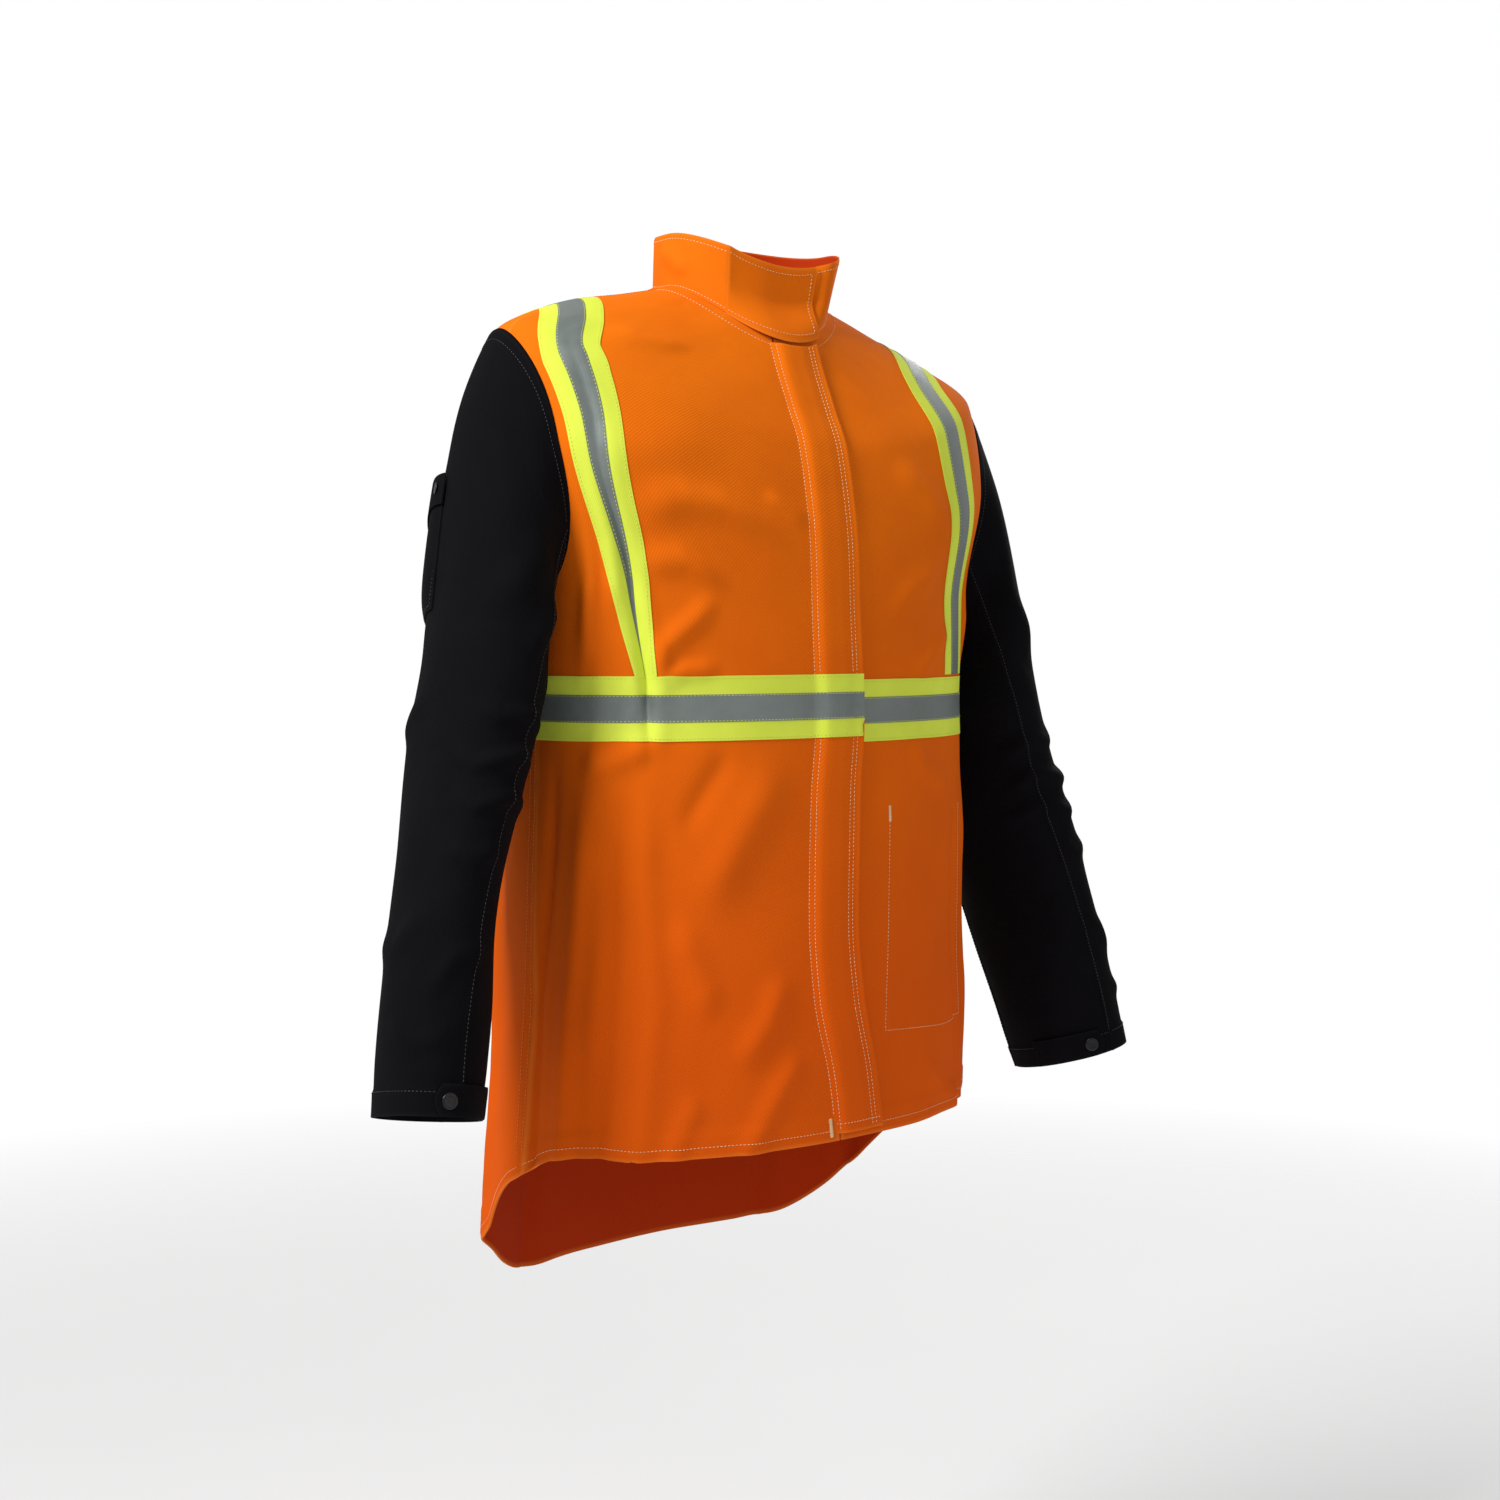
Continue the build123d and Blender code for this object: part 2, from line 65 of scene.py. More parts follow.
Path = Callable[[Array], tuple[Array, Array]]


# ------------------------------------------------------------------ curves and rules
def smooth(value: Array, low: float, high: float) -> Array:
    """0 below low, 1 above high, with a smooth rise between them."""
    t = np.clip((np.asarray(value, float) - low) / (high - low), 0, 1)
    return t * t * (3 - 2 * t)


def rounded(value: Array, power: float) -> Array:
    """A signed power, which squares an ellipse up a little."""
    return np.sign(value) * np.abs(value) ** power


class Table:
    """Smooth values between the rows of a table, without overshoot."""

    def __init__(self, rows: Sequence[Sequence[float]]) -> None:
        """Args: rows: each starts with where it stands, then its values."""
        table = np.array(rows, float)
        self.at, self.rows = table[:, 0], table[:, 1:]
        step = np.diff(self.at)[:, None]
        rise = np.diff(self.rows, axis=0) / step
        self.slope = np.zeros_like(self.rows)
        self.slope[0], self.slope[-1] = rise[0], rise[-1]
        for k in range(1, len(self.at) - 1):
            before, after = rise[k - 1], rise[k]
            same = before * after > 0
            w1, w2 = 2 * step[k] + step[k - 1], step[k] + 2 * step[k - 1]
            mean = (w1 + w2) / (w1 / np.where(same, before, 1) + w2 / np.where(same, after, 1))
            self.slope[k] = np.where(same, mean, 0)

    def __call__(self, where: Array) -> list[Array]:
        """Args: where: places along the table.  Returns: one array for each column."""
        where = np.clip(np.asarray(where, float), self.at[0], self.at[-1])
        k = np.clip(np.searchsorted(self.at, where, side="right") - 1, 0, len(self.at) - 2)
        step = self.at[k + 1] - self.at[k]
        t = ((where - self.at[k]) / step)[..., None]
        step = step[..., None]
        value = ((2 * t**3 - 3 * t**2 + 1) * self.rows[k]
                 + (t**3 - 2 * t**2 + t) * step * self.slope[k]
                 + (3 * t**2 - 2 * t**3) * self.rows[k + 1]
                 + (t**3 - t**2) * step * self.slope[k + 1])
        return [value[..., c] for c in range(value.shape[-1])]


@dataclass(frozen=True)
class Fold:
    """One crease or ridge along a path of (angle, level) points."""

    strength: ClassVar[float] = 1.45
    path: tuple[tuple[float, float], ...]
    width: float
    height: float = 0.0
    step: float = 0.0
    open_start: bool = False
    open_end: bool = False

    def relief(self, across: Array, down: Array, per_degree: float, per_level: float) -> Array:
        """How far the cloth stands out.

        Args:
            across, down: places in millimetres of cloth.
            per_degree, per_level: millimetres of cloth in a degree and in a level.
        Returns:
            Millimetres along the normal.
        """
        points = np.array(self.path, float) * (per_degree, per_level)
        reach = 3 * self.width
        low, high = points.min(axis=0) - reach, points.max(axis=0) + reach
        near_by = ((across > low[0]) & (across < high[0]) & (down > low[1])
                   & (down < high[1]))
        total = np.zeros(across.shape)
        if near_by.any():
            total[near_by] = self._profile(points, across[near_by], down[near_by])
        return total

    def _profile(self, points: Array, across: Array, down: Array) -> Array:
        """The fold's own height at places near its path."""
        runs = np.linalg.norm(np.diff(points, axis=0), axis=1)
        best = np.full(across.shape, 1e9)
        along, signed = np.zeros(across.shape), np.zeros(across.shape)
        done = 0.0
        for (p, q), run in zip(zip(points[:-1], points[1:]), runs):
            d = (q - p) / run
            x, y = across - p[0], down - p[1]
            t = np.clip(x * d[0] + y * d[1], 0, run)
            gap = np.hypot(x - t * d[0], y - t * d[1])
            near = gap < best
            best = np.where(near, gap, best)
            along = np.where(near, (done + t) / runs.sum(), along)
            signed = np.where(near, gap * np.sign(x * d[1] - y * d[0]), signed)
            done += run
        bell = np.exp(-(best / self.width) ** 2)
        fade = (1 if self.open_start else smooth(along, 0, 0.3)) * (
            1 if self.open_end else 1 - smooth(along, 0.65, 1))
        return self.strength * bell * fade * (self.height + self.step * signed / self.width)


class Rule:
    """A surface given by an angle in degrees and a level from 0 to 1."""

    per_degree: float = 4.1
    per_level: float = 700.0
    folds: tuple[Fold, ...] = ()

    def bare(self, angle: Array, level: Array) -> Array:
        """The surface without its wrinkles."""
        raise NotImplementedError

    def middle(self, level: Array) -> Array:
        """A point inside, for telling out from in."""
        raise NotImplementedError

    def relief(self, angle: Array, level: Array) -> Array:
        """The wrinkles, in millimetres along the normal."""
        angle, level = np.broadcast_arrays(angle, level)
        turn = (angle + 180) % 360 - 180
        across, down = np.atleast_1d(turn * self.per_degree, level * self.per_level)
        total = np.zeros(across.shape)
        for fold in self.folds:
            total += fold.relief(across, down, self.per_degree, self.per_level)
        return total.reshape(angle.shape)

    def normal(self, surface: Callable[[Array, Array], Array], angle: Array,
               level: Array) -> Array:
        """Unit normals of a surface, pointing out."""
        across = surface(angle + 0.3, level) - surface(angle - 0.3, level)
        along = (surface(angle, np.minimum(level + 0.002, 1))
                 - surface(angle, np.maximum(level - 0.002, 0)))
        n = np.cross(across, along)
        n /= np.linalg.norm(n, axis=-1, keepdims=True) + 1e-9
        out = np.sum(n * (surface(angle, level) - self.middle(level)), axis=-1)
        return n * np.where(out < 0, -1, 1)[..., None]

    def skin(self, angle: Array, level: Array) -> tuple[Array, Array]:
        """The wrinkled surface: its points and their unit normals."""
        angle, level = np.broadcast_arrays(np.asarray(angle, float), np.asarray(level, float))
        plain = self.normal(self.bare, angle, level)

        def creased(a: Array, v: Array) -> Array:
            """Points with their wrinkles, pushed out along the plain normals."""
            return self.bare(a, v) + plain * self.relief(a, v)[..., None]
        return creased(angle, level), self.normal(creased, angle, level)

    def walk(self, angle: Array, level: Array, heading: Array, distance: Array
             ) -> tuple[Array, Array]:
        """The (angle, level) reached by walking across the surface in a fixed direction."""
        for _ in range(6):
            here = self.bare(angle, level)
            pu = (self.bare(angle + 0.05, level) - here) / 0.05
            pv = (self.bare(angle, level + 0.0005) - here) / 0.0005
            go = heading * (distance / 6)[..., None]
            a, b, c = (pu * pu).sum(-1), (pu * pv).sum(-1), (pv * pv).sum(-1)
            p, q = (go * pu).sum(-1), (go * pv).sum(-1)
            det = a * c - b * b
            angle, level = angle + (p * c - q * b) / det, level + (a * q - b * p) / det
        return angle, level


def vectors(x: Array, y: Array, z: Array) -> Array:
    """Three arrays as one array of points."""
    return np.stack(np.broadcast_arrays(x, y, z), axis=-1)


SHOULDER_TAPE = {
    "right": Table([(k / 12, a, v) for k, (a, v) in enumerate([
        (-47, 0.4865), (-50, 0.405), (-51, 0.335), (-53, 0.257), (-61, 0.187), (-73, 0.145),
        (-91, 0.122), (-109, 0.145), (-120, 0.187), (-126, 0.257), (-128, 0.335),
        (-129, 0.405), (-130, 0.4865)])]),
    "left": Table([(k / 12, a, v) for k, (a, v) in enumerate([
        (47, 0.4865), (46, 0.405), (44, 0.335), (41, 0.257), (43, 0.187), (58, 0.130),
        (90, 0.108), (110, 0.137), (121, 0.187), (126, 0.257), (128, 0.335), (129, 0.405),
        (130, 0.4865)])]),
}
PINCH = Table([(0, 1.0), (0.083, 0.70), (0.167, 0.46), (0.25, 0.24), (0.333, 0.08),
               (0.417, 0), (0.5, 0), (1, 0)])
SIGN = {"right": -1, "left": 1}
ARMHOLE_Y, ARMHOLE_HALF_DEPTH, ARMHOLE_HALF_HEIGHT = 2.0, 70.0, 118.0
ARMHOLE_Z = {"right": -170.0, "left": -190.0}


class BodyRule(Rule):
    """The cotton body; angle from the front middle towards the wearer's left."""

    rings = Table([
        (0.00, 80, 72, 70, 0, -48, 0, 22, 0, 2.0),
        (0.06, 132, 80, 84, -2, -75, -15, -5, 4, 2.0),
        (0.13, 200, 92, 104, -6, -110, -36, -45, 10, 2.1),
        (0.19, 256, 104, 118, -10, -145, -66, -90, 12, 2.2),
        (0.28, 264, 116, 136, -10, -205, -136, -170, 12, 2.3),
        (0.40, 234, 126, 146, -6, -288, -262, -280, 6, 2.3),
        (0.52, 229, 132, 140, -5, -368, -368, -368, 0, 2.3),
        (0.75, 226, 149, 138, 5, -540, -560, -570, 0, 2.3),
        (1.00, 232, 160, 142, 14, -738, -790, -885, 0, 2.3)])
    waist, waist_height = 0.52, -368.0
    folds = (
        Fold(((-46, 0.335), (-30, 0.302), (-22, 0.298), (-14, 0.31), (-7, 0.33)), 13, 3.4, 2.6),
        Fold(((-48, 0.372), (-34, 0.357), (-22, 0.375)), 10, 2.6, -2.0),
        Fold(((-13, 0.262), (-8, 0.28), (-4, 0.30)), 7, 1.8, 1.0),
        Fold(((-60, 0.30), (-44, 0.27), (-30, 0.235), (-18, 0.22)), 22, 2.4),
        Fold(((-45, 0.50), (-41, 0.455), (-33, 0.425), (-25, 0.39)), 9, 3.2, 1.6),
        Fold(((-44, 0.49), (-36, 0.475), (-26, 0.47)), 7, 2.4, -1.2),
        Fold(((-56, 0.44), (-54, 0.36), (-57, 0.30)), 11, 3.2),
        Fold(((-70, 0.588), (-58, 0.578), (-47, 0.562), (-40, 0.548)), 12, 3.6, 2.0),
        Fold(((-67, 0.57), (-69, 0.70), (-72, 0.84), (-72, 0.99)), 15, 5.0, 2.0, open_end=True),
        Fold(((-78, 0.55), (-80, 0.70), (-84, 0.82), (-83, 0.99)), 10, -4.5, open_end=True),
        Fold(((-49, 0.56), (-50, 0.70), (-47, 0.84), (-50, 0.99)), 17, 2.8, 1.5, open_end=True),
        Fold(((-58, 0.60), (-58, 0.78), (-60, 0.99)), 12, -3.0, open_end=True),
        Fold(((-14, 0.56), (-18, 0.61), (-25, 0.66), (-36, 0.74)), 21, 4.0, 1.5),
        Fold(((-24, 0.56), (-31, 0.60), (-40, 0.66)), 12, -2.4),
        Fold(((-30, 0.86), (-36, 0.80), (-43, 0.74)), 16, 3.0, -1.2),
        Fold(((-13, 0.80), (-18, 0.86), (-26, 0.91)), 14, 3.2, 1.4),
        Fold(((-8, 0.89), (-14, 0.94), (-20, 0.99)), 12, 2.8, -1.2, open_end=True),
        Fold(((-33, 0.93), (-38, 0.97), (-40, 1.0)), 12, 2.4, open_end=True),
        Fold(((-66, 0.20), (-60, 0.28), (-62, 0.40), (-68, 0.52)), 11, 3.6, -2.2),
        Fold(((-38, 0.10), (-52, 0.13), (-62, 0.14)), 9, 1.8, 1.0),
        Fold(((16, 0.21), (24, 0.25), (33, 0.31)), 15, 2.4, 1.2),
        Fold(((12, 0.40), (22, 0.36), (34, 0.35)), 13, 2.6, -1.2),
        Fold(((20, 0.50), (30, 0.46), (42, 0.42)), 10, 2.4, 1.0),
        Fold(((18, 0.56), (26, 0.60), (40, 0.62)), 12, 2.6, 1.0),
        Fold(((64, 0.22), (58, 0.30), (62, 0.42), (68, 0.52)), 11, 3.4, 2.0),
        Fold(((62, 0.57), (66, 0.72), (64, 0.86), (68, 0.99)), 15, 4.6, -1.6, open_end=True),
        Fold(((46, 0.60), (45, 0.80), (48, 0.99)), 13, -2.8, open_end=True),
        Fold(((80, 0.56), (82, 0.75), (80, 0.99)), 11, -4.0, open_end=True),
        Fold(((20, 0.93), (30, 0.96), (40, 0.99)), 13, 2.0, open_end=True),
        Fold(((104, 0.22), (112, 0.32), (124, 0.42)), 14, 4.0, 2.2),
        Fold(((-104, 0.22), (-113, 0.32), (-126, 0.42)), 14, 4.0, -2.2),
        Fold(((150, 0.13), (152, 0.22), (148, 0.34)), 18, 3.2, 1.2),
        Fold(((-150, 0.14), (-153, 0.24), (-147, 0.36)), 18, 3.2, -1.2),
        Fold(((112, 0.56), (118, 0.68), (114, 0.84), (118, 0.99)), 18, 5.5, 2.0, open_end=True),
        Fold(((-110, 0.56), (-116, 0.68), (-112, 0.84), (-117, 0.99)), 18, 5.5, -2.0,
             open_end=True),
        Fold(((146, 0.57), (150, 0.72), (148, 0.99)), 20, 4.2, 1.4, open_end=True),
        Fold(((-142, 0.57), (-147, 0.74), (-144, 0.99)), 19, 4.4, -1.4, open_end=True),
        Fold(((128, 0.48), (140, 0.45), (158, 0.44)), 10, 2.6, 1.4),
        Fold(((-128, 0.48), (-141, 0.455), (-160, 0.45)), 10, 2.6, -1.4),
        Fold(((126, 0.58), (140, 0.60), (160, 0.60)), 11, 2.4, -1.2),
        Fold(((-126, 0.58), (-142, 0.605), (-162, 0.60)), 11, 2.4, 1.2),
        Fold(((162, 0.30), (166, 0.36), (170, 0.44)), 14, 2.4, 1.4),
        Fold(((-164, 0.28), (-168, 0.35), (-172, 0.42)), 13, 2.2, -1.2),
        Fold(((164, 0.62), (167, 0.76), (164, 0.93)), 18, -3.0),
        Fold(((-166, 0.60), (-170, 0.78), (-166, 0.94)), 18, -3.0))

    def __init__(self) -> None:
        """Draws the small seeded ripples once."""
        random = np.random.default_rng(29)
        count = 22
        self.turns = random.integers(3, 17, count)
        self.falls = random.uniform(-0.045, 0.045, count)
        self.starts = random.uniform(0, 2 * math.pi, count)
        self.sizes = random.uniform(0.10, 0.32, count) * (6 / (self.turns + 2)) ** 0.4

    def middle(self, level: Array) -> Array:
        """The middle line of the body."""
        level = np.asarray(level, float)
        return vectors(0 * level, 0 * level, -900 * level)

    def hem_height(self, angle: Array) -> Array:
        """Level in front, then down round the sides to the tail."""
        turn = np.abs((angle + 180) % 360 - 180)
        return -738 - 152 * smooth(turn, 66, 150)

    def bare(self, angle: Array, level: Array) -> Array:
        """The body without wrinkles."""
        angle, level = np.broadcast_arrays(np.asarray(angle, float), np.asarray(level, float))
        half, front, back, centre, zf, zs, zb, tilt, n = self.rings(level)
        s, c = np.sin(np.radians(angle)), np.cos(np.radians(angle))
        x = half * rounded(s, 2 / n)
        y = centre - np.where(c > 0, front, back) * rounded(c, 2 / n)
        upper = zs + (np.where(c > 0, zf, zb) - zs) * c * c - tilt * x / half
        share = (level - self.waist) / (1 - self.waist)
        lower = self.waist_height + (self.hem_height(angle) - self.waist_height) * share
        return vectors(x, y, np.where(level > self.waist, lower, upper))

    def relief(self, angle: Array, level: Array) -> Array:
        """Drawn folds, seeded ripples and the pleat down the right shoulder tape."""
        angle, level = np.broadcast_arrays(np.asarray(angle, float), np.asarray(level, float))
        total = super().relief(angle, level)
        turn, down = np.radians(angle), level * self.per_level
        loose = 0.5 + 0.9 * smooth(level, 0.5, 1)
        for k, fall, start, size in zip(self.turns, self.falls, self.starts, self.sizes):
            total = total + loose * size * np.sin(
                k * turn + fall * down + start + 1.3 * np.sin(down / 90 + start))
        total = total - 1.4 * np.exp(-((level - self.waist) / 0.035) ** 2) * 0.8
        total = total * self.calm(angle, level)
        return total - self.pleat(angle, level)

    def pleat(self, angle: Array, level: Array) -> Array:
        """Depth of the pleat that gathers the right shoulder tape."""
        turn = (angle + 180) % 360 - 180
        t = np.linspace(0, 0.5, 40)
        a, v = SHOULDER_TAPE["right"](t)
        middle = np.interp(level, v[::-1], a[::-1])
        share = PINCH(np.interp(level, v[::-1], t[::-1]))[0] * (level > 0.12)
        gap = (turn - middle) * self.per_degree
        below = 1 - smooth(level, 0.47, 0.60)
        return share * below * (7.5 * np.exp(-(gap / 8) ** 2)
                                - 2.5 * np.exp(-((gap - 17) / 10) ** 2)
                                - 1.5 * np.exp(-((gap + 17) / 10) ** 2))

    def calm(self, angle: Array, level: Array) -> Array:
        """0 at the neck and the armholes, where seams hold the cloth, 1 elsewhere."""
        point = self.bare(angle, level)
        quiet = smooth(level, 0.0, 0.07)
        for side, sign in SIGN.items():
            away = np.hypot((point[..., 1] - ARMHOLE_Y) / ARMHOLE_HALF_DEPTH,
                            (point[..., 2] - ARMHOLE_Z[side]) / ARMHOLE_HALF_HEIGHT)
            beside = point[..., 0] * sign > 120
            quiet = quiet * np.where(beside, 0.04 + 0.96 * smooth(away, 1.0, 1.4), 1)
        return quiet

    def level_at(self, angle: Array, height: Array) -> Array:
        """The level whose point at this angle has this height."""
        low, high = np.zeros(np.shape(angle)), np.ones(np.shape(angle))
        for _ in range(36):
            middle = (low + high) / 2
            above = self.bare(angle, middle)[..., 2] > height
            low, high = np.where(above, middle, low), np.where(above, high, middle)
        return (low + high) / 2

    def angle_at(self, x: Array, level: Array) -> Array:
        """The angle, at the front, whose point at this level has this x."""
        half, *_, n = self.rings(level)
        return np.degrees(np.arcsin(np.clip(rounded(x / half, n / 2), -1, 1)))

    def armhole(self, side: str, angle: Array) -> Array:
        """A point of the armhole; angle 0 at the top of the shoulder, 90 at the front."""
        sign = SIGN[side]
        angle = np.asarray(angle, float)
        y = ARMHOLE_Y - ARMHOLE_HALF_DEPTH * np.sin(np.radians(angle))
        z = ARMHOLE_Z[side] + ARMHOLE_HALF_HEIGHT * np.cos(np.radians(angle))
        low, high = np.full(angle.shape, 0.10), np.full(angle.shape, 0.60)
        for _ in range(36):
            level = (low + high) / 2
            half, front, back, centre, *_, n = self.rings(level)
            depth = np.where(y < centre, front, back)
            across = np.degrees(np.arcsin(np.sqrt(np.maximum(
                0, 1 - np.abs((y - centre) / depth) ** n))))
            turn = sign * np.where(y < centre, across, 180 - across)
            point = self.bare(turn, level)
            above = point[..., 2] > z
            low, high = np.where(above, level, low), np.where(above, high, level)
        return vectors(point[..., 0], y, z)


BODY = BodyRule()


class CollarRule(Rule):
    """The stand-up collar; level 0 is its seam and 1 its top edge."""

    rings = Table([(0.0, 80, 72, 70, 0, 0, -48, 0, 22), (1.0, 90, 68, 72, 8, -4, 22, 49, 60)])
    per_degree, per_level = 1.35, 64.0
    folds = (Fold(((-70, 0.25), (-85, 0.5), (-100, 0.8)), 11, 1.6, 0.8),
             Fold(((60, 0.2), (72, 0.5), (80, 0.9)), 10, -1.4, 0.8),
             Fold(((120, 0.3), (140, 0.6), (160, 0.9)), 12, 1.4),
             Fold(((-130, 0.2), (-145, 0.6), (-150, 0.9)), 12, 1.4))

    def middle(self, level: Array) -> Array:
        """The middle of the neck."""
        level = np.asarray(level, float)
        return vectors(4 + 0 * level, 0 * level, 20 + 0 * level)

    def bare(self, angle: Array, level: Array) -> Array:
        """An oval, drawn flat across the throat between its crease and its free end."""
        angle, level = np.broadcast_arrays(np.asarray(angle, float), np.asarray(level, float))
        half, front, back, x0, y0, zf, zs, zb = self.rings(level)
        turn = (angle + 180) % 360 - 180
        s, c = np.sin(np.radians(turn)), np.cos(np.radians(turn))
        z = zs + (np.where(c > 0, zf, zb) - zs) * c * c
        x, y = x0 + half * s, y0 - np.where(c > 0, front, back) * c
        left, right = -43.0, 44.0
        ends = []
        for end in (left, right):
            es, ec = math.sin(math.radians(end)), math.cos(math.radians(end))
            ends.append((x0 + half * es, y0 - front * ec))
        share = np.clip((x - ends[0][0]) / (ends[1][0] - ends[0][0]), 0, 1)
        chord = ends[0][1] + (ends[1][1] - ends[0][1]) * share
        inside = (turn > left) & (turn < right)
        flat = np.where(inside, 0.97 * smooth(level, 0, 0.55) * (1 - smooth(turn, 22, right)), 0)
        return vectors(x, y + (chord - y) * flat, z)


COLLAR = CollarRule()


@dataclass
class SleeveRule(Rule):
    """A leather sleeve; angle 0 outside, 90 in front, 180 inside; level 0 at the armhole."""

    side: str = "right"
    drop: float = 0.0
    rings: Table = field(default_factory=lambda: Table([
        (0.400, -348, 282, -16, 44, 75, -7), (0.508, -408, 297, -20, 43, 72, -10),
        (0.705, -518, 329, -38, 39, 66, -15), (0.863, -606, 349, -55, 41, 60, -19),
        (1.000, -682, 364, -70, 40, 54, -20)]))
    top: float = 0.4
    per_degree: float = 1.02
    per_level: float = 620.0
    folds: tuple[Fold, ...] = (
        Fold(((150, 0.52), (110, 0.50), (70, 0.53), (30, 0.50)), 9, 3.4, 2.2),
        Fold(((165, 0.58), (120, 0.57), (80, 0.60), (45, 0.58)), 8, 3.0, -2.0),
        Fold(((150, 0.46), (112, 0.44), (80, 0.45), (50, 0.43)), 9, 2.8, 2.0),
        Fold(((120, 0.64), (90, 0.66), (50, 0.65)), 10, 2.4, 1.6),
        Fold(((-160, 0.55), (-120, 0.53), (-80, 0.55)), 10, 2.6, 1.4),
        Fold(((-150, 0.62), (-110, 0.60), (-60, 0.63)), 11, 2.2, -1.4),
        Fold(((100, 0.10), (80, 0.22), (40, 0.34)), 13, 3.0, 1.8),
        Fold(((130, 0.16), (112, 0.28), (90, 0.38)), 11, 2.8, -1.8),
        Fold(((-100, 0.10), (-84, 0.24), (-50, 0.36)), 13, 2.6, 1.6),
        Fold(((60, 0.72), (20, 0.78), (-30, 0.76)), 13, 2.2, 1.2),
        Fold(((130, 0.78), (90, 0.80), (60, 0.86)), 11, 2.4, -1.4),
        Fold(((-20, 0.84), (-60, 0.87), (-110, 0.85)), 12, 2.4, 1.2),
        Fold(((20, 0.88), (60, 0.91), (100, 0.90)), 9, 1.8, 1.2),
        Fold(((10, 0.42), (-30, 0.47), (-80, 0.46)), 12, 2.2, 1.2))

    def __post_init__(self) -> None:
        """Finds the armhole once."""
        turns = np.linspace(0, 360, 121)
        points = BODY.armhole(self.side, turns)
        self.mouth = Table(np.column_stack([turns / 360, points]))

    def tube(self, angle: Array, level: Array) -> Array:
        """The sleeve below its head."""
        sign = SIGN[self.side]
        height, x0, y0, thin, wide, turn = self.rings(level)
        after = self.rings(np.minimum(level + 0.01, 1))
        before = self.rings(np.maximum(level - 0.01, self.top))
        fall = after[0] - before[0]
        lean_x, lean_y = (after[1] - before[1]) / fall, (after[2] - before[2]) / fall
        c, s, t = np.cos(np.radians(angle)), np.sin(np.radians(angle)), np.radians(turn)
        dx = thin * c * np.cos(t) - wide * s * np.sin(t)
        dy = -thin * c * np.sin(t) - wide * s * np.cos(t)
        return vectors(sign * (x0 + dx), y0 + dy,
                       height - self.drop - dx * lean_x - dy * lean_y)

    def bare(self, angle: Array, level: Array) -> Array:
        """The head runs smoothly from the armhole into the tube."""
        angle, level = np.broadcast_arrays(np.asarray(angle, float), np.asarray(level, float))
        sign = SIGN[self.side]
        low = self.tube(angle, np.maximum(level, self.top))
        start = vectors(*self.mouth((angle % 360) / 360)) + np.array([sign * 2.5, 0, 0])
        end = self.tube(angle, np.full(angle.shape, self.top))
        reach = np.linalg.norm(end - start, axis=-1, keepdims=True)
        out = np.array([sign * 0.50, 0, -0.866]) * reach
        down = self.tube(angle, np.full(angle.shape, self.top + 0.02)) - end
        down = down / np.linalg.norm(down, axis=-1, keepdims=True) * reach
        t = np.clip(level / self.top, 0, 1)[..., None]
        head = (start * (2 * t**3 - 3 * t**2 + 1) + out * (t**3 - 2 * t**2 + t)
                + end * (3 * t**2 - 2 * t**3) + down * (t**3 - t**2))
        return np.where((level < self.top)[..., None], head, low)

    def middle(self, level: Array) -> Array:
        """The middle line of the sleeve."""
        level = np.asarray(level, float)
        return (self.bare(0 * level, level) + self.bare(0 * level + 180, level)) / 2

    def relief(self, angle: Array, level: Array) -> Array:
        """Creases at the elbow and under the arm, held flat at the seam and the cuff."""
        angle, level = np.broadcast_arrays(np.asarray(angle, float), np.asarray(level, float))
        turn = np.radians(angle)
        total = super().relief(angle, level)
        shift = 0.0 if self.side == "right" else 2.1
        for k, fall, size in ((2, 14, 0.9), (3, -11, 0.6), (5, 23, 0.35), (7, -31, 0.22)):
            total = total + size * np.sin(k * turn + fall * level + k + shift)
        hold = smooth(level, 0.0, 0.09) * (1 - 0.75 * smooth(level, 0.93, 1.0))
        if self.side == "right":
            away = np.hypot(((angle + 180) % 360 - 180 + 38) / 36, (level - 0.25) / 0.11)
            hold = hold * (0.1 + 0.9 * smooth(away, 0.8, 1.3))
        return total * hold


SLEEVES = {"right": SleeveRule(side="right"), "left": SleeveRule(side="left", drop=40.0)}
SNAP_ANGLE = {"right": 98.0, "left": 137.0}


